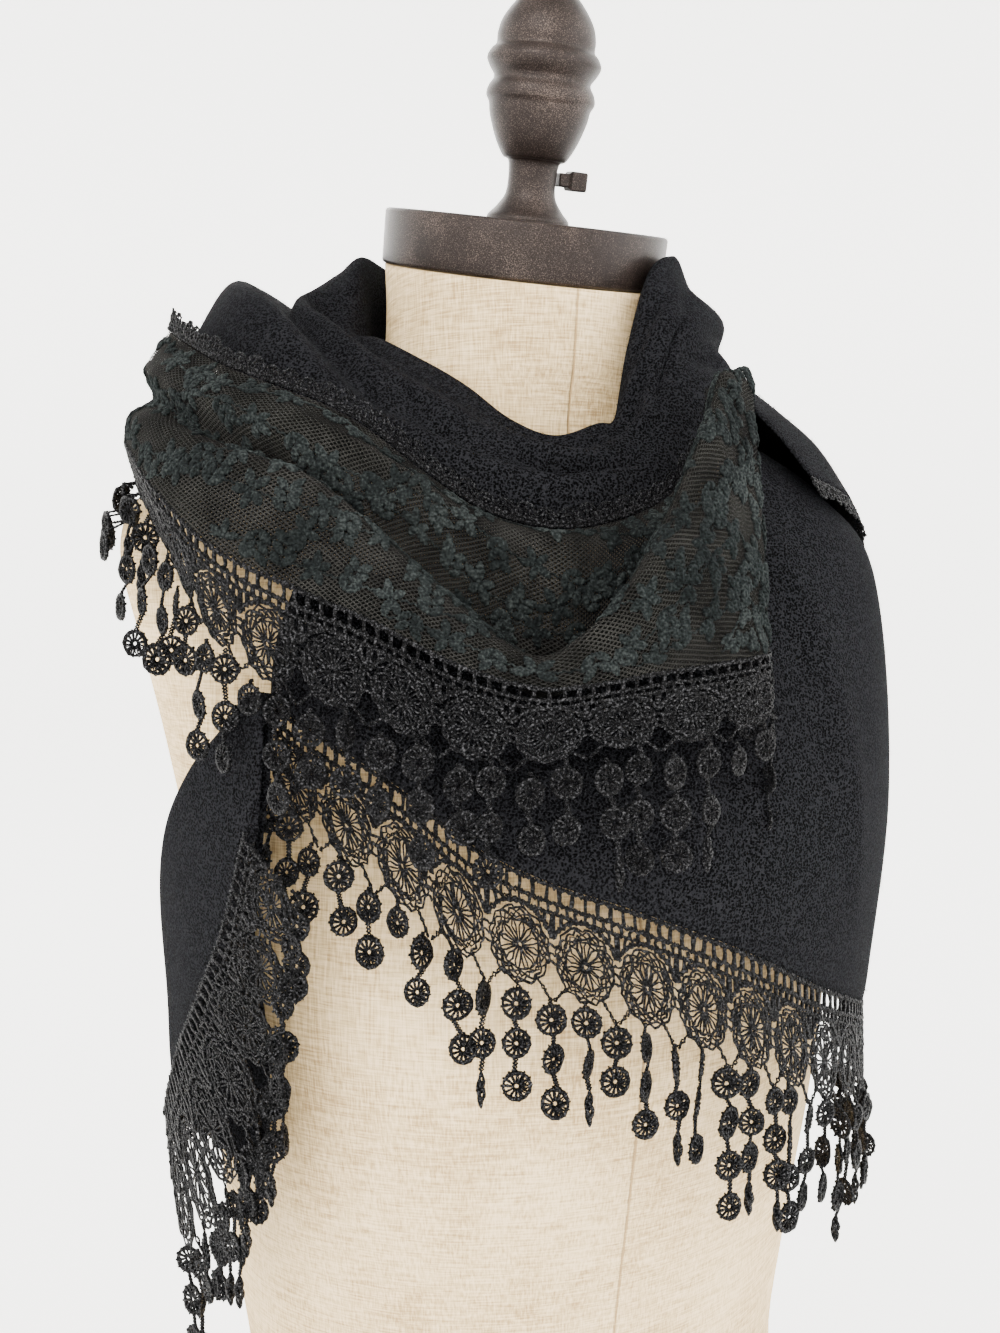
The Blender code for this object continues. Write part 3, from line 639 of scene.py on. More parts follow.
class Yarns:
    """Collects yarns as closed tubes, and makes one mesh of them."""

    def __init__(self):
        self.points = []
        self.quads = []
        self.uvs = []
        self.count = 0

    def add(self, path, out, radius, sides=4, loop=False, flat=1.0, rough=0.15):
        """Tubes along one path or a stack of paths, with the directions out of the cloth."""
        path = np.asarray(path, float)
        path = path.reshape((-1,) + path.shape[-2:])
        out = np.broadcast_to(out, path.shape)
        total, steps = path.shape[:2]
        if loop:
            along = np.roll(path, -1, axis=1) - np.roll(path, 1, axis=1)
        else:
            along = np.gradient(path, axis=1)
        along = along / length_of(along)
        side = np.cross(along, out)
        side = side / length_of(side)
        up = np.cross(side, along)
        angle = 2 * math.pi * (np.arange(sides) + 0.5)[:, None] / sides
        ring = side[:, :, None] * np.cos(angle) + up[:, :, None] * np.sin(angle) * flat
        uneven = RANDOM.uniform(1 - rough, 1 + rough, path.shape[:2])
        radius = np.broadcast_to(radius, path.shape[:2]) * uneven
        corners = path[:, :, None] + ring * radius[:, :, None, None]
        last = steps if loop else steps - 1
        here = np.arange(last)[:, None] * sides
        there = (np.arange(1, last + 1) % steps)[:, None] * sides
        around = np.arange(sides)[None, :]
        beside = (around + 1) % sides
        quads = np.stack([here + around, here + beside, there + beside, there + around], axis=-1)
        distance = np.linalg.norm(np.diff(path, axis=1, append=path[:, :1]), axis=2)
        travel = np.concatenate([np.zeros((total, 1)), np.cumsum(distance, axis=1)], axis=1)
        start = travel[:, :last, None] + 0 * around
        end = travel[:, 1 : last + 1, None] + 0 * around
        low = (around + 0 * start) / sides
        high = (around + 1 + 0 * start) / sides
        uvs = np.stack([start, low, start, high, end, high, end, low], axis=-1)
        quads = quads.reshape(-1, 4)
        uvs = uvs.reshape(total, -1, 4, 2)
        if not loop:
            caps = cap_quads(sides)
            tail = caps[:, ::-1] + (steps - 1) * sides
            quads = np.concatenate([quads, caps, tail])
            uvs = np.concatenate([uvs, np.zeros((total, 2 * len(caps), 4, 2))], axis=1)
        shifts = self.count + np.arange(total)[:, None, None] * steps * sides
        self.points.append(corners.reshape(-1, 3))
        self.quads.append((quads[None] + shifts).reshape(-1, 4))
        self.uvs.append(uvs.reshape(-1, 2))
        self.count += total * steps * sides

    def make(self, name, material, slot):
        points = np.concatenate(self.points)
        quads = np.concatenate(self.quads)
        return add_piece(name, points, quads, np.concatenate(self.uvs), material)


def cap_quads(sides):
    """Quads that close the start of a tube."""
    if sides == 4:
        return np.array([[3, 2, 1, 0]])
    return np.array([[3, 2, 1, 0], [5, 4, 3, 0]])


# Yarn patterns, in mm

def waved(line, swing, pitch, phase=0.0, fine=4):
    """A line's points, evenly spaced, swinging from side to side in whole waves."""
    line = np.asarray(line, float)
    steps = np.linalg.norm(np.diff(line, axis=0), axis=1)
    travel = np.concatenate([[0], np.cumsum(steps)])
    waves = max(1, round(travel[-1] / pitch))
    places = np.linspace(0, travel[-1], waves * fine + 1)
    spots = np.stack([np.interp(places, travel, line[:, axis]) for axis in (0, 1)], axis=1)
    along = np.gradient(spots, axis=0)
    along = along / length_of(along)
    side = np.stack([-along[:, 1], along[:, 0]], axis=1)
    turn = 2 * math.pi * np.arange(waves * fine + 1) / fine + phase
    return spots + side * (swing * np.sin(turn))[:, None]


def arc(centre, radius, first, last, steps):
    angle = np.radians(np.linspace(first, last, steps + 1))
    return np.stack([centre[0] + radius * np.sin(angle), centre[1] - radius * np.cos(angle)], axis=1)


def ring_wave(centre, radius, swing, waves, phase=0.0, fine=4):
    """A closed ring that swings in and out."""
    turn = 2 * math.pi * np.arange(waves * fine) / (waves * fine)
    reach = radius + swing * np.sin(waves * turn + phase)
    return np.stack([centre[0] + reach * np.sin(turn), centre[1] - reach * np.cos(turn)], axis=1)


def straight(start, end, steps):
    share = np.linspace(0, 1, steps + 1)[:, None]
    return np.array(start) * (1 - share) + np.array(end) * share


def header_yarns():
    """Braid at the seam and two rows of cells, all of crossed yarns."""
    pitch = FLOWER_PITCH
    yarns = []
    for height, swing, thick in HEADER_BRAIDS:
        line = ((0, height), (pitch, height))
        yarns += braid(line, swing, thick)
    for count, top, bottom, thick in HEADER_BARS:
        for number in range(count):
            across = (number + 0.5) * pitch / count
            yarns.append((straight((across, top), (across, bottom), 2), thick, 0.0, False))
    return yarns


def braid(line, swing, thick):
    """Two yarns that cross each other along a line."""
    turns = ((0.0, 0.3), (math.pi, -0.3))
    return [(waved(line, swing, STITCH, phase, 3), thick, lift, False) for phase, lift in turns]


def arch_yarns():
    """Braided arch over each flower, with its ties to the cells above."""
    line = arc((FLOWER_PITCH / 2, ARCH_CENTRE), ARCH_RADIUS, -ARCH_TURN, ARCH_TURN, 16)
    yarns = braid(line, 0.6, 0.68)
    for across, top, bottom in ARCH_TIES:
        for place in (across, FLOWER_PITCH - across):
            yarns.append((straight((place, top), (place, bottom), 2), 0.75, 0.0, False))
    return yarns


def flower_yarns():
    """Medallion flower: hub, petal loops, inner ring, a dense border and its scallops."""
    centre = (FLOWER_PITCH / 2, FLOWER_CENTRE)
    yarns = [(ring_wave(centre, HUB_RADIUS, 0.0, 3, 0.0, 3), 0.6, 0.3, True)]
    for number in range(PETALS):
        angle = math.radians(360 / PETALS * number + 8)
        for side in (-1, 1):
            yarns.append((petal_side(centre, angle, side), 0.42, 0.15 * side, False))
    yarns.append((ring_wave(centre, INNER_RADIUS, 0.3, PETALS, 0.0, 3), 0.55, 0.0, True))
    for radius, swing, waves, thick, phase in FLOWER_BORDER:
        yarns.append((ring_wave(centre, radius, swing, waves, phase, 3), thick, 0.3 - phase / 5, True))
    yarns.append((ring_wave(centre, SCALLOP_RADIUS, 0.45, PETALS, 0.0, 4), 0.52, 0.0, True))
    return yarns


def petal_side(centre, angle, side):
    """One side of a long thin petal loop from the hub to the inner ring."""
    reach = np.array(PETAL_REACH)
    swell = np.array(PETAL_SWELL) * side
    x = centre[0] + reach * math.sin(angle) + swell * math.cos(angle)
    y = centre[1] - reach * math.cos(angle) + swell * math.sin(angle)
    return np.stack([x, y], axis=1)


def link_yarns():
    """Short bars that join a flower to the next one, and the two braids that hold a string."""
    yarns = []
    for height in LINK_BARS:
        line = ((-LINK_REACH, height + 0.4), (0, height), (LINK_REACH, height + 0.4))
        yarns.append((waved(line, 0.35, STITCH, 0.0, 3), 0.55, 0.0, False))
    for side in (-1, 1):
        yarns += braid(((side * 6.0, 29.6), (side * 0.5, FRINGE_TOP)), 0.45, 0.42)
    return yarns


def repeats(cloth, pitch):
    """How often a pattern of this pitch in mm fits along a cloth, and how it stretches to fill it."""
    count = max(1, round(cloth.length() / (pitch * MM)))
    return count, cloth.length() / (count * pitch * MM)


def make_band(name, cloth, material):
    """Lays the crochet pattern along the cloth, once for each flower."""
    yarns = Yarns()
    flowers, stretch = repeats(cloth, FLOWER_PITCH)
    starts = np.arange(flowers)[:, None] * FLOWER_PITCH
    for line, thick, lift, loop in header_yarns() + arch_yarns() + flower_yarns() + link_yarns():
        run = (starts + line[None, :, 0]) * stretch * MM
        share = (line[None, :, 1] + 0 * run) / BAND_DEPTH
        run = run + RANDOM.normal(0, 0.2, run.shape) * MM
        share = share + RANDOM.normal(0, 0.18, run.shape) / BAND_DEPTH
        lifts = (lift + RANDOM.normal(0, 0.12, run.shape)) * MM
        path, out = cloth.place(np.clip(run, 0, cloth.length()), share, lifts)
        yarns.add(path, out, thick * MM, 4, loop, 0.9, 0.28)
    return yarns.make(name, material, "crochet")


# Fringe

def spread(start, *moves):
    """Points at a start, moved by amounts along directions."""
    points = start
    for amounts, direction in moves:
        points = points + np.outer(amounts, direction)
    return points


def disc_yarns(yarns, centre, down, out, size, squeeze):
    """A crocheted wheel: rim, the stitches wound over it, spokes and hub."""
    side = np.cross(down, out)

    def lay(turn, reach, lift):
        across = np.cos(turn) * reach * size
        along = np.sin(turn) * reach * size
        return spread(centre, (across * squeeze, side), (along, down), (lift, out))

    turn = np.linspace(0, 2 * math.pi, DISC_STITCHES, endpoint=False)
    rim = lay(turn, DISC_RIM * MM + 0 * turn, 0 * turn)
    yarns.add(rim, out, 0.85 * size * MM, 4, True, 0.8, 0.3)
    turn = np.linspace(0, 2 * math.pi, len(STITCH_REACH) * DISC_STITCHES, endpoint=False)
    reach = np.tile(STITCH_REACH, DISC_STITCHES) * MM
    lift = np.tile(STITCH_LIFT, DISC_STITCHES) * MM
    yarns.add(lay(turn, reach, lift), out, 0.45 * size * MM, 4, True, 1.0, 0.3)


def chain_yarns(yarns, start, end, out):
    """A short chain of crossed stitches between two places."""
    gap = end - start
    length = np.linalg.norm(gap)
    if length < SHORTEST_CHAIN * MM:
        return
    waves = max(1, round(length / (CHAIN_STITCH * MM)))
    share = np.linspace(0, 1, 4 * waves + 1)
    side = np.cross(gap / length, out)
    for phase in (0.0, math.pi):
        swing = np.sin(2 * math.pi * waves * share + phase) * CHAIN_SWING * MM
        lift = np.cos(2 * math.pi * waves * share + phase) * CHAIN_LIFT * MM
        path = spread(start, (share, gap), (swing, side), (lift, out))
        yarns.add(path, out, 0.46 * MM, 4, False, 1.0, 0.2)


def twist_yarns(yarns, start, down, out, length):
    """A disc that has shrunk into a twisted end."""
    share = np.linspace(0, 1, 13)
    side = np.cross(down, out)
    for phase in (0.0, 2.1, 4.2):
        swell = TWIST_SWELL * MM * np.sin(math.pi * share) ** 0.7
        swing = swell * np.cos(5 * share + phase)
        lift = swell * np.sin(5 * share + phase)
        path = spread(start, (share * length, down), (swing, side), (lift, out))
        yarns.add(path, out, (0.35 + 0.55 * np.sin(math.pi * share)) * MM, 4, False, 1.0, 0.15)


def hang_string(yarns, cloth, run, start, discs, twisted, drift):
    """One string of the fringe: chains and discs down from the band's edge."""
    depth = float(cloth.depth(run))
    shares = np.linspace(0, 1, 9)
    path, out = cloth.place(run + 0 * shares, shares, 0.4 * MM + 0 * shares)
    travel = np.concatenate([[0], np.cumsum(np.linalg.norm(np.diff(path, axis=0), axis=1))])

    def at(distance):
        spot = np.array([np.interp(distance, travel, path[:, axis]) for axis in range(3)])
        facing = np.array([np.interp(distance, travel, out[:, axis]) for axis in range(3)])
        flat = facing * [1, 1, 0]
        lean = np.array([-flat[1], flat[0], 0]) * drift * distance
        return spot + lean, flat / np.linalg.norm(flat)

    place, facing = at(start)
    reach = start + DISC_RADIUS * MM * RANDOM.uniform(0.8, 1.3)
    if start > 0:
        reach = start + 5.0 * MM
    for number in range(discs):
        size = RANDOM.uniform(0.98, 1.16)
        radius = DISC_RADIUS * MM * size
        if reach + radius > depth:
            break
        centre, facing = at(reach + radius * 0.3)
        centre = centre + facing * RANDOM.uniform(0, 1.8) * MM
        turn = RANDOM.normal(0, 0.35)
        if RANDOM.random() < 0.15:
            turn = RANDOM.uniform(0.8, 1.3)
        roll = RANDOM.normal(0, 0.12)
        down = np.array([facing[1] * roll, -facing[0] * roll, -1.0])
        down = down / np.linalg.norm(down)
        facing = np.array(Matrix.Rotation(turn, 3, "Z") @ Vector(facing))
        chain_yarns(yarns, place, centre - down * radius * 0.9, facing)
        disc_yarns(yarns, centre, down, facing, size, RANDOM.uniform(0.86, 1.0))
        place = centre + down * radius * 0.9
        reach += DISC_PITCH * MM * RANDOM.uniform(0.92, 1.1)
    if twisted and reach + 6 * MM < depth:
        end, facing = at(reach - 4 * MM)
        chain_yarns(yarns, place, end, facing)
        length = min(LONGEST_TWIST * MM, depth - reach + 4 * MM)
        twist_yarns(yarns, end, np.array([0.0, 0.0, -1.0]), facing, length)


def make_fringe(name, cloth, material):
    """Two strings for each flower, of uneven length."""
    yarns = Yarns()
    flowers = repeats(cloth, FLOWER_PITCH)[0]
    pitch = cloth.length() / flowers
    for number in range(2 * flowers):
        start = 0.0 if number % 2 else (FRINGE_TOP - BAND_DEPTH) * MM
        run = max(number * pitch / 2 + RANDOM.normal(0, 0.4) * MM, 0.001)
        full = int(cloth.depth(run) // (DISC_PITCH * MM))
        discs = max(1, full - int(RANDOM.choice([0, 0, 1, 1, 2])))
        hang_string(yarns, cloth, run, start, discs, RANDOM.random() < 0.3, RANDOM.normal(0, 0.07))
    return yarns.make(name, material, "crochet")


# Picots, embroidery and fuzz

def picot_patterns(width, height):
    """Two braided lines with a pointed loop in a loop on them, and a yarn up its middle."""
    yarns = []
    foot = PICOT_LINES[-1]
    for place in PICOT_LINES:
        for phase in (0.0, math.pi):
            line = waved(((0, place), (width, place)), 0.5, STITCH, phase, 4)
            yarns.append((line, 0.45, 0.2, False))
    bow = np.linspace(0, math.pi, 9)
    for swell, tall in PICOT_LOOPS:
        x = width * (0.5 - swell * np.cos(bow))
        y = foot + (height * tall - foot) * np.sin(bow) ** 0.8
        yarns.append((waved(np.stack([x, y], axis=1), 0.35, 2.0, 0.0, 3), 0.48, 0.0, False))
    yarns.append((straight((width / 2, foot), (width / 2, height), 4), 0.45, 0.2, False))
    return yarns


def make_picots(name, cloth, material):
    """Loops along an edge, all of one pattern, a little uneven."""
    yarns = Yarns()
    height = cloth.drop[:, -1].mean() / MM
    count, stretch = repeats(cloth, PICOT_PITCH)
    starts = np.arange(count)[:, None] * PICOT_PITCH
    tall = RANDOM.uniform(0.75, 1.1, (count, 1))
    for line, thick, lift, loop in picot_patterns(PICOT_PITCH, height):
        run = (starts + line[None, :, 0]) * stretch * MM
        rise = np.where(line[None, :, 1] > PICOT_BASE, tall, 1.0)
        share = line[None, :, 1] * rise / height
        run = run + RANDOM.normal(0, 0.15, run.shape) * MM
        lifts = (lift + RANDOM.normal(0, 0.2, run.shape)) * MM
        path, out = cloth.place(np.clip(run, 0, cloth.length()), share + 0 * run, lifts)
        yarns.add(path, out, thick * MM, 4, loop, 0.9, 0.2)
    return yarns.make(name, material, "crochet")


class Embroidery:
    """Collects padded leaves and vine stitches on a cloth."""

    def __init__(self, cloth):
        self.cloth = cloth
        self.yarns = Yarns()

    def spots(self, points, lifts):
        """Points and outward directions at places in mm along and down the cloth."""
        run = points[:, 0] * MM
        share = points[:, 1] * MM / self.cloth.depth(run)
        return self.cloth.place(run, share, np.asarray(lifts) * MM)

    def inside(self, place):
        """Whether a place is on the cloth, clear of its edges."""
        across, down = place
        length = self.cloth.length() / MM
        deep = self.cloth.depth(across * MM) / MM
        return SIDE_MARGIN < across < length - SIDE_MARGIN and EDGE_MARGIN < down < deep - EDGE_MARGIN

    def leaf(self, place, angle, length, width):
        """A plump leaf of satin stitches: a short fat yarn whose rings rise and fall."""
        if not self.inside(place):
            return
        share = np.linspace(0, 1, 9)
        reach = (share - 0.5) * length
        points = np.add(place, np.outer(reach, (math.cos(angle), math.sin(angle))))
        path, out = self.spots(points, 0.35 + 0 * share)
        swell = np.sin(math.pi * np.clip(share, 0.06, 0.94)) ** 0.6
        ridges = 1 + 0.13 * np.cos(math.pi * np.arange(9))
        self.yarns.add(path, out, width / 2 * swell * ridges * MM, 6, False, 0.42, 0.06)

    def sprig(self, place, angle, petals, size):
        """Petals round a middle, open or closed like a blossom."""
        for number in range(petals):
            turn = angle + 2 * math.pi * number / petals + RANDOM.normal(0, 0.12)
            spot = step_from(place, turn, size * 0.62)
            self.leaf(spot, turn, size * RANDOM.uniform(0.95, 1.2), size * 0.62)

    def branch(self, place, lean):
        """Three pairs of leaves along a short stem."""
        for pair in range(3):
            spot = step_from(place, lean, 3.8 * pair - 3.0)
            for side in (-1, 1):
                turn = lean + side * 0.8
                tip = step_from(spot, turn, 3.5)
                self.leaf(tip, turn, RANDOM.uniform(5.6, 7.4), RANDOM.uniform(3.1, 3.9))

    def vine(self, points):
        """A line of couched yarn."""
        line = waved(points, 0.45, 3.1, 0.0, 4)
        keep = [spot for spot in line if self.inside(spot)]
        if len(keep) > 4:
            path, out = self.spots(np.array(keep), np.full(len(keep), 0.35))
            self.yarns.add(path, out, 0.34 * MM, 4, False, 0.9, 0.25)


def step_from(place, angle, reach):
    return place[0] + reach * math.cos(angle), place[1] + reach * math.sin(angle)


def make_embroidery(name, cloth, material):
    """Blossoms and leafy branches on vines that wander along the net."""
    work = Embroidery(cloth)
    length = cloth.length() / MM
    deepest = cloth.drop[:, -1].max() / MM
    places = np.arange(0, length, 4.0)
    for level, base in enumerate(np.arange(VINE_TOP, deepest, VINE_APART)):
        sway = VINE_SWAY * np.sin(places / VINE_WAVE + 2.1 * level)
        work.vine(np.stack([places, base + sway], axis=1))
        start = 5 + MOTIF_APART / 2 * (level % 2)
        for number, place in enumerate(np.arange(start, length, MOTIF_APART)):
            sway = VINE_SWAY * math.sin(place / VINE_WAVE + 2.1 * level)
            middle = (place + RANDOM.normal(0, 1.0), base + sway + RANDOM.normal(0, 1.2))
            if (number + level) % 2:
                work.sprig(middle, RANDOM.uniform(0, 2), 5, RANDOM.uniform(5.4, 6.6))
            else:
                work.branch(middle, RANDOM.uniform(-0.5, 0.5) + (1.2 if level % 2 else -1.2))
    return work.yarns.make(name, material, "tulle")


def make_fuzz(name, cloth, count, material):
    """Short curved fibres that stand off the outer side of a knit cloth."""
    run = RANDOM.uniform(0, cloth.length(), count)
    share = RANDOM.uniform(0.0, 1.0, count)
    root, out = cloth.place(run, share, np.full(count, KNIT_WALL / 2 - 0.2 * MM))
    lean = RANDOM.normal(0, 1, (count, 3))
    lean = lean - out * np.sum(lean * out, axis=1, keepdims=True)
    lean = lean / length_of(lean)
    size = RANDOM.uniform(1.0, 3.0, count)[:, None] * MM
    rise = RANDOM.uniform(0.25, 0.8, count)[:, None]
    middle = root + (out * rise + lean * 0.5) * size * 0.5
    tip = root + (out * rise * 0.8 + lean) * size
    path = np.stack([root, middle, tip], axis=1)
    yarns = Yarns()
    thick = np.array([0.09, 0.07, 0.02]) * MM
    yarns.add(path, np.repeat(out[:, None], 3, axis=1), thick[None], 4, False, 1.0, 0.2)
    return yarns.make(name, material, "knit")


# Materials

class Finish:
    """A Principled material and a short way to wire nodes to it."""

    def __init__(self, name, roughness, shine, metallic=0.0, sheen=0.0, sheen_tint=(1, 1, 1)):
        self.material = bpy.data.materials.new(name)
        self.material.use_nodes = True
        self.tree = self.material.node_tree
        self.shader = self.tree.nodes["Principled BSDF"]
        self.shader.inputs["Roughness"].default_value = roughness
        self.shader.inputs["Metallic"].default_value = metallic
        self.shader.inputs["Specular IOR Level"].default_value = shine
        self.shader.inputs["Sheen Weight"].default_value = sheen
        self.shader.inputs["Sheen Roughness"].default_value = 0.5
        self.shader.inputs["Sheen Tint"].default_value = (*sheen_tint, 1)
        self.coordinates = self.tree.nodes.new("ShaderNodeTexCoord")

    def node(self, kind, inputs=(), **settings):
        made = self.tree.nodes.new(kind)
        for name, value in settings.items():
            setattr(made, name, value)
        for socket, value in dict(inputs).items():
            if isinstance(value, bpy.types.NodeSocket):
                self.tree.links.new(value, made.inputs[socket])
            else:
                made.inputs[socket].default_value = value
        return made

    def mapped(self, source, stretch=(1, 1, 1), turn=0.0):
        place = self.coordinates.outputs[source]
        inputs = {"Vector": place, "Scale": stretch, "Rotation": (0, 0, turn)}
        return self.node("ShaderNodeMapping", inputs).outputs["Vector"]

    def noise(self, scale, detail=2.0, stretch=(1, 1, 1)):
        inputs = {"Vector": self.mapped("Object", stretch), "Scale": scale, "Detail": detail}
        return self.node("ShaderNodeTexNoise", inputs).outputs["Fac"]

    def cells(self, scale):
        inputs = {"Vector": self.mapped("Object"), "Scale": scale}
        return self.node("ShaderNodeTexVoronoi", inputs).outputs["Distance"]

    def stripes(self, scale, turn=0.0):
        inputs = {"Vector": self.mapped("UV", turn=turn), "Scale": scale}
        return self.node("ShaderNodeTexWave", inputs, bands_direction="X").outputs["Fac"]

    def spread(self, value, **ends):
        """A value spread from one range to another, each of them 0 to 1 where it isn't given."""
        inputs = {"Value": value}
        for name, end in ends.items():
            inputs[name.replace("_", " ").title()] = end
        return self.node("ShaderNodeMapRange", inputs).outputs["Result"]

    def sum_of(self, first, second, share):
        """first + second * share"""
        inputs = {0: second, 1: share, 2: first}
        return self.node("ShaderNodeMath", inputs, operation="MULTIPLY_ADD").outputs[0]

    def math(self, operation, first, second):
        return self.node("ShaderNodeMath", {0: first, 1: second}, operation=operation).outputs[0]

    def ramp(self, value, stops):
        made = self.node("ShaderNodeValToRGB", {"Fac": value})
        while len(made.color_ramp.elements) < len(stops):
            made.color_ramp.elements.new(0.5)
        for element, (place, colour) in zip(made.color_ramp.elements, stops):
            element.position = place
            element.color = (*colour, 1)
        return made.outputs["Color"]

    def colour(self, value, stops):
        self.tree.links.new(self.ramp(value, stops), self.shader.inputs["Base Color"])

    def rough(self, value, low, high):
        roughness = self.spread(value, to_min=low, to_max=high)
        self.tree.links.new(roughness, self.shader.inputs["Roughness"])

    def bump(self, height, distance, strength=1.0):
        inputs = {"Height": height, "Distance": distance, "Strength": strength}
        made = self.node("ShaderNodeBump", inputs)
        self.tree.links.new(made.outputs["Normal"], self.shader.inputs["Normal"])


def linen_finish():
    """Cream plain weave with slubs, and a sewn seam down the centre front and back."""
    finish = Finish("linen", 0.9, 0.15)
    warp = finish.noise(1500, 2, stretch=(1, 1, 0.06))
    weft = finish.noise(1500, 2, stretch=(0.06, 0.06, 1))
    weave = finish.sum_of(warp, weft, 1.0)
    cloud = finish.noise(18, 3)
    tone = finish.sum_of(weave, cloud, 0.7)
    tone = finish.math("MULTIPLY", tone, 0.6)
    place = finish.node("ShaderNodeSeparateXYZ", {0: finish.coordinates.outputs["Object"]}).outputs["X"]
    away = finish.math("ABSOLUTE", place, 0.0)
    inputs = {"Value": away, "From Max": SEAM_WIDTH}
    seam = finish.node("ShaderNodeMapRange", inputs, interpolation_type="SMOOTHSTEP").outputs["Result"]
    shade = finish.spread(seam, to_min=0.72)
    finish.colour(finish.math("MULTIPLY", tone, shade), LINEN_TONES)
    finish.bump(finish.sum_of(weave, seam, 2.0), 0.0005, 0.7)
    return finish.material


def bronze_finish():
    """Dark satin bronze with fine copper and grey specks."""
    finish = Finish("bronze", 0.36, 0.16, metallic=0.35)
    fine = finish.noise(2600, 2)
    cloud = finish.noise(60, 3)
    tone = finish.sum_of(fine, cloud, 0.35)
    finish.colour(tone, BRONZE_TONES)
    finish.rough(cloud, 0.32, 0.5)
    finish.bump(fine, 0.0002, 0.35)
    return finish.material


def knit_finish():
    """Near-black boucle knit: curly loops of their own random dark tone, with highlights painted into
    the base colour as grey flecks.
    """
    finish = Finish("knit", 0.95, 0.02, sheen=0.006, sheen_tint=(0.62, 0.66, 0.74))
    loops = finish.cells(1050)
    curl = finish.noise(1500, 3)
    mixed = finish.sum_of(curl, loops, 0.7)
    # The ramp's light stop paints highlights as grey flecks on the loops.
    finish.colour(mixed, KNIT_TONES_WITH_PAINTED_HIGHLIGHTS)
    finish.bump(mixed, 0.0011, 0.9)
    return finish.material


def yarn_finish():
    """Black mercerised yarn: plied, with fine glints painted into its base colour as grey flecks."""
    finish = Finish("crochet yarn", 0.5, 0.06, sheen=0.005, sheen_tint=(0.7, 0.7, 0.75))
    plies = finish.stripes(260)
    fibre = finish.noise(1400, 2)
    height = finish.sum_of(plies, fibre, 1.4)
    # Base colour from the fibre noise: its light stops paint glints as grey flecks.
    finish.colour(fibre, YARN_TONES_WITH_PAINTED_GLINTS)
    finish.bump(height, 0.0005, 0.8)
    return finish.material


def net_finish(name, cover, tones):
    """Fine net of crossing threads, see-through between them. cover is how much is thread."""
    finish = Finish(name, 0.9, 0.03)
    rising = finish.stripes(WAVE_STEP / NET_CELL, NET_TURN)
    falling = finish.stripes(WAVE_STEP / NET_CELL, -NET_TURN)
    thread = finish.math("MAXIMUM", rising, falling)
    alpha = finish.spread(thread, from_min=1 - cover - NET_BLUR, from_max=1 - cover + NET_BLUR)
    finish.tree.links.new(alpha, finish.shader.inputs["Alpha"])
    finish.colour(finish.noise(70, 3), tones)
    finish.bump(thread, 0.0003, 0.6)
    return finish.material


def chenille_finish():
    """Soft dark green-grey satin stitches."""
    finish = Finish("chenille", 0.95, 0.03, sheen=0.015, sheen_tint=(0.6, 0.75, 0.75))
    fibre = finish.noise(1100, 3)
    cloud = finish.noise(45, 2)
    tone = finish.sum_of(fibre, cloud, 0.5)
    finish.colour(tone, CHENILLE_TONES)
    finish.bump(finish.sum_of(fibre, finish.stripes(170), 0.7), 0.0006, 0.8)
    return finish.material


# Form

def torso_points():
    """Rings of the torso, from the bottom up."""
    rows = resample(TORSO, np.linspace(0, len(TORSO) - 1, TORSO_RINGS))
    height, half_width, front, back, tilt = rows.T[..., None]
    angle = np.linspace(0, 2 * math.pi, TORSO_SIDES, endpoint=False)[None, :]
    forward = np.cos(angle)
    x = half_width * np.sin(angle)
    y = -forward * np.where(forward > 0, front, back)
    z = height + y * tilt * math.tan(CAP_TILT)
    return np.stack([x, y, z], axis=-1) * MM


def turned_points(outline, sides):
    """Grid of points of an outline of (height, radius), spun round the Z axis."""
    angle = np.linspace(0, 2 * math.pi, sides, endpoint=False)[None, :]
    height, radius = np.asarray(outline).T[..., None]
    return np.stack([radius * np.cos(angle), radius * np.sin(angle), height + 0 * angle], axis=-1)


def ring_quads(points):
    """Quads between stacked rings, facing out where the rings turn anticlockwise from above."""
    rings, sides = points.shape[:2]
    numbers = np.arange(rings * sides).reshape(rings, sides)
    beside = np.roll(numbers, -1, axis=1)
    return np.stack([numbers[:-1], beside[:-1], beside[1:], numbers[1:]], axis=-1).reshape(-1, 4)


def add_turned(name, outline, sides, place, bronze, bend):
    """A turned bronze piece, creased where its outline bends by more than this many degrees."""
    points = turned_points(close_end(outline), sides)
    piece = add_piece(name, points, ring_quads(points), None, bronze)
    piece.data.transform(place)
    piece.data.set_sharp_from_angle(angle=math.radians(bend))
    return piece


def cap_frame():
    """Frame at the centre of the neck's tilted top, its Z axis along the cap and the finial."""
    return Matrix.Translation((0, 0, FORM_HEIGHT)) @ Matrix.Rotation(CAP_TILT, 4, "X")


def close_end(outline):
    """The outline with a tiny flat at an end that lies on the axis, so that its ring keeps its shape."""
    outline = np.array(outline, float)
    outline[:, 1] = np.maximum(outline[:, 1], 0.00005)
    return outline


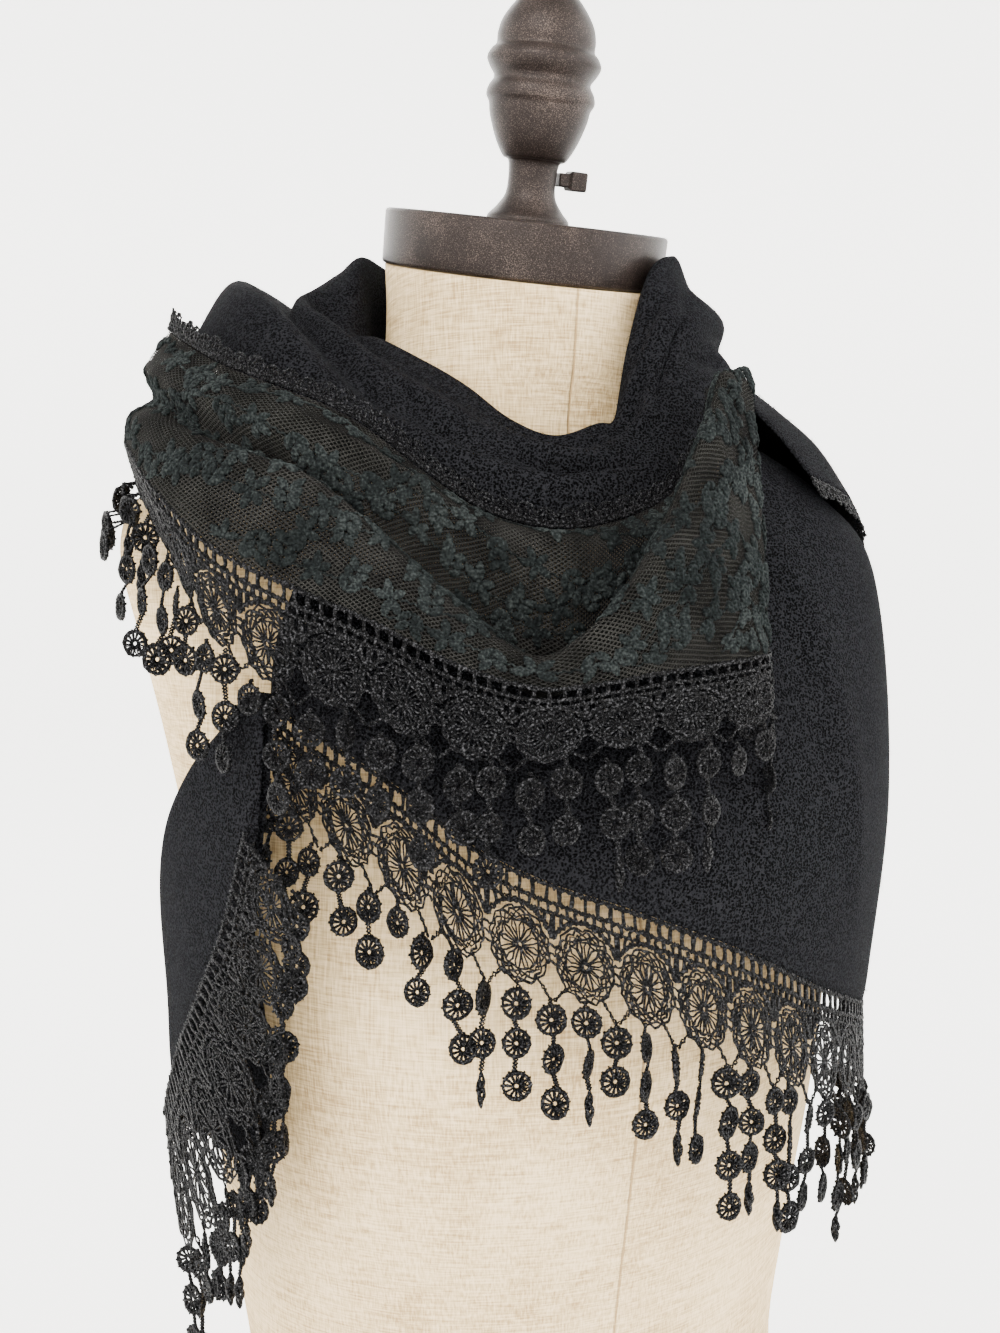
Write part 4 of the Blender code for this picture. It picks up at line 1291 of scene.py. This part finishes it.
def make_form(linen, bronze):
    """The linen torso, closed at both ends, and the bronze cap and finial on it."""
    torso = torso_points()
    closed = [0.02, 0.02, 1.0]
    bottom = torso[:1] * closed
    crown = torso[-1:] * closed
    crown[..., 2] = FORM_HEIGHT
    round_base = torso[:1] * [0.985, 0.985, 1.0]
    torso[0, :, 2] += 1.5 * MM
    points = np.concatenate([bottom, round_base, torso, crown])
    form = add_piece("dress_form", points, ring_quads(points), None, linen)
    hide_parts("form_torso")

    top = CAP_HEIGHT + FIT
    turn = CAP_RIM * 0.3
    outline = [(FIT, 0), (FIT, CAP_RADIUS - CAP_RIM), (FIT + turn, CAP_RADIUS - turn)]
    outline += [(FIT + CAP_RIM, CAP_RADIUS), (top - CAP_RIM, CAP_RADIUS)]
    outline += [(top - turn, CAP_RADIUS - turn), (top, CAP_RADIUS - CAP_RIM), (top, 0)]
    cap = add_turned("neck_cap", outline, 128, cap_frame(), bronze, 50)
    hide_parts("form_neck_cap")

    outline = resample(FINIAL, np.linspace(0, len(FINIAL) - 1, 4 * len(FINIAL))) * MM
    outline[:, 0] *= FINIAL_HEIGHT / outline[-1, 0]
    outline = np.concatenate([[(0.0, 0.0)], outline])
    outline[-1, 1] = 0.0
    place = cap_frame() @ Matrix.Translation((0, 0, CAP_HEIGHT + 2 * FIT))
    finial = add_turned("finial", outline, 72, place, bronze, 60)
    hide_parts("form_finial")


def finish_screw(bronze):
    """The CAD's set screw stays, and takes the bronze."""
    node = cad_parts["form_set_screw"]
    node.data.materials.clear()
    node.data.materials.append(bronze)


# Stage, light and camera

def make_stage():
    """A pale floor that curves up into a wall all round."""
    outline = [(0.0, 0.01), (0.0, 1.2), (0.0, 2.0)]
    for turn in np.linspace(0, math.pi / 2, 13):
        rise = FLOOR_BEND * (1 - math.cos(turn))
        outline.append((rise, FLOOR_FLAT + FLOOR_BEND * math.sin(turn)))
    outline.append((WALL_HEIGHT, FLOOR_FLAT + FLOOR_BEND))
    points = turned_points(outline, 96)[:, ::-1]
    mesh = bpy.data.meshes.new("floor")
    mesh.from_pydata(points.reshape(-1, 3), [], ring_quads(points))
    mesh.shade_smooth()
    material = bpy.data.materials.new("floor")
    material.use_nodes = True
    shader = material.node_tree.nodes["Principled BSDF"]
    shader.inputs["Base Color"].default_value = FLOOR_COLOUR
    shader.inputs["Roughness"].default_value = 0.9
    shader.inputs["Emission Color"].default_value = GLOW_COLOUR
    shader.inputs["Emission Strength"].default_value = FLOOR_GLOW
    mesh.materials.append(material)
    floor = bpy.data.objects.new("floor", mesh)
    bpy.context.scene.collection.objects.link(floor)


def add_light(name, place, target, size, power, colour):
    light = bpy.data.lights.new(name, "AREA")
    light.size = size
    light.energy = power
    light.color = colour
    lamp = bpy.data.objects.new(name, light)
    lamp.location = place
    lamp.rotation_euler = (Vector(target) - Vector(place)).to_track_quat("-Z", "Y").to_euler()
    bpy.context.scene.collection.objects.link(lamp)


def make_light():
    world = bpy.data.worlds.new("studio")
    world.use_nodes = True
    background = world.node_tree.nodes["Background"]
    background.inputs["Color"].default_value = WORLD_COLOUR
    background.inputs["Strength"].default_value = WORLD_LIGHT
    bpy.context.scene.world = world
    for light in LIGHTS:
        add_light(*light)


def make_camera():
    camera = bpy.data.cameras.new("camera")
    camera.lens = CAMERA_LENS
    camera.sensor_width = CAMERA_SENSOR
    camera.clip_start = 0.01
    eye = bpy.data.objects.new("camera", camera)
    eye.location = CAMERA_PLACE
    eye.rotation_euler = (math.pi / 2 + CAMERA_PITCH, 0, CAMERA_TURN)
    bpy.context.scene.collection.objects.link(eye)
    bpy.context.scene.camera = eye


# Cloth

def declare(cloth):
    """Reads the cloth's length, and keeps nothing of it."""
    length = float(cloth.length())


def make_wrap(knit):
    cloth = wrap_cloth().creased(WRAP_CREASES)
    shell = add_knit("neck_roll", cloth, knit, closed=True)
    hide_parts("knit_neck_wrap")
    fuzz = make_fuzz("neck_roll_fuzz", cloth, NECK_FUZZ, knit)
    declare(cloth)


def add_net(name, cloth, gap, material, columns=None):
    """A single open layer of net, pushed inwards by a gap."""
    points = (cloth.points - cloth.out * gap)[:columns]
    across, down = points.shape[:2]
    quads = grid_quads(across, down)
    flat = np.stack([np.repeat(cloth.run[:across, None], down, axis=1), cloth.drop[:across]], axis=-1)
    return add_piece(name, points, quads, flat.reshape(-1, 2)[quads], material)


def lace_cloths(table, lines, span, cells):
    """The two cloths that a fall's band and its fringe are laid on."""
    band = fall(table, lines, "hem", "scallop", span, cells)
    return band, fall(table, lines, "scallop", "ends", span, cells)


def make_lace(band, fringe, cloths, yarn):
    """A band and its fringe. Each is given as its name and the CAD node that it replaces."""
    lace = make_band(band[0], cloths[0], yarn)
    discs = make_fringe(fringe[0], cloths[1], yarn)
    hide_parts(band[1])
    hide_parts(fringe[1])
    return lace, discs


def make_cowl(net, underlay, chenille, yarn):
    span = (0, len(COWL) - 1)
    tulle = fall(COWL, COWL_LINES, "top", "hem", span, COWL_CELLS).creased(TULLE_CREASES)
    outer = add_net("tulle_cowl_net", tulle, 0.0, net)
    inner = add_net("tulle_cowl_underlay", tulle, UNDERLAY_GAP, underlay, UNDERLAY_COLUMNS)
    flowers = make_embroidery("tulle_cowl_embroidery", tulle, chenille)
    band = ("crochet_band_cowl", "lace_band_cowl")
    fringe = ("fringe_cowl_discs", "fringe_cowl")
    lace = make_lace(band, fringe, lace_cloths(COWL, COWL_LINES, span, COWL_LACE_CELLS), yarn)
    rising = trim_below(tulle.points[:PICOT_COLUMNS, 0], -PICOT_WIDTH, -PICOT_GAP, PICOT_LEAN)
    rising.out = -rising.out
    picots = make_picots("picots_cowl", rising, yarn)
    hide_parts("tulle_cowl")
    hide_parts("picot_trim_cowl")
    declare(tulle)


def make_front(knit, yarn):
    span = (0, len(FRONT) - 1)
    cloth = fall(FRONT, FRONT_LINES, "top", "hem", span, FRONT_CELLS).creased(FRONT_CREASES)
    shell = add_knit("front_panel", cloth, knit)
    fuzz = make_fuzz("front_panel_fuzz", cloth, FRONT_FUZZ, knit)
    band = ("crochet_band_front", "lace_band_front")
    fringe = ("fringe_front_discs", "fringe_front")
    lace = make_lace(band, fringe, lace_cloths(FRONT, FRONT_LINES, span, FRONT_LACE_CELLS), yarn)
    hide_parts("knit_front_panel")
    declare(cloth)


def make_shoulder(knit, yarn):
    """The flap over the right shoulder. It goes on to where the CAD's back starts, so no slit shows."""
    cloth = fall(BACK, BACK_LINES, "top", "hem", (SHOULDER_ROWS[0], BACK_ROWS[0]), FLAP_CELLS)
    shell = add_knit("shoulder_flap", cloth, knit)
    edge = fall(BACK, BACK_LINES, "brow", "hem", TRIM_ROWS, (FLAP_CELLS[0], 1)).points[:, 1]
    trim = trim_below(edge, TRIM_WIDTH, PICOT_GAP, TRIM_LEAN)
    picots = make_picots("picots_shoulder", trim, yarn)
    fuzz = make_fuzz("shoulder_fuzz", cloth, FLAP_FUZZ, knit)
    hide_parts("knit_right_shoulder")
    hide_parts("picot_trim_shoulder")
    declare(cloth)


def make_back(knit, yarn):
    """The rest of the back. It starts where the CAD's shoulder stops, so no slit shows."""
    cloth = fall(BACK, BACK_LINES, "top", "hem", (SHOULDER_ROWS[1], BACK_ROWS[1]), BACK_CELLS)
    shell = add_knit("back_panel", cloth, knit)
    fuzz = make_fuzz("back_fuzz", cloth, BACK_FUZZ, knit)
    band = ("crochet_band_back", "lace_band_back")
    fringe = ("fringe_back_discs", "fringe_back")
    lace = make_lace(band, fringe, lace_cloths(BACK, BACK_LINES, HEM_ROWS, BACK_LACE_CELLS), yarn)
    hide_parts("knit_back")
    declare(cloth)


def make_tail(knit, yarn):
    cloth = tail_cloth()
    shell = add_knit("left_tail", cloth, knit)
    fuzz = make_fuzz("left_tail_fuzz", cloth, TAIL_FUZZ, knit)
    band = ("crochet_band_tail", "lace_band_left_tail")
    fringe = ("fringe_tail_discs", "fringe_left_tail")
    cloths = (tail_edge("seam", "scallop"), tail_edge("scallop", "ends"))
    lace = make_lace(band, fringe, cloths, yarn)
    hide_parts("knit_left_tail")
    declare(cloth)


def main():
    make_camera()
    make_stage()
    make_light()
    knit = knit_finish()
    yarn = yarn_finish()
    bronze = bronze_finish()
    make_form(linen_finish(), bronze)
    finish_screw(bronze)
    make_wrap(knit)
    net = net_finish("net", 0.28, NET_TONES)
    underlay = net_finish("net underlay", 0.95, UNDERLAY_TONES)
    make_cowl(net, underlay, chenille_finish(), yarn)
    make_front(knit, yarn)
    make_shoulder(knit, yarn)
    make_back(knit, yarn)
    make_tail(knit, yarn)


main()
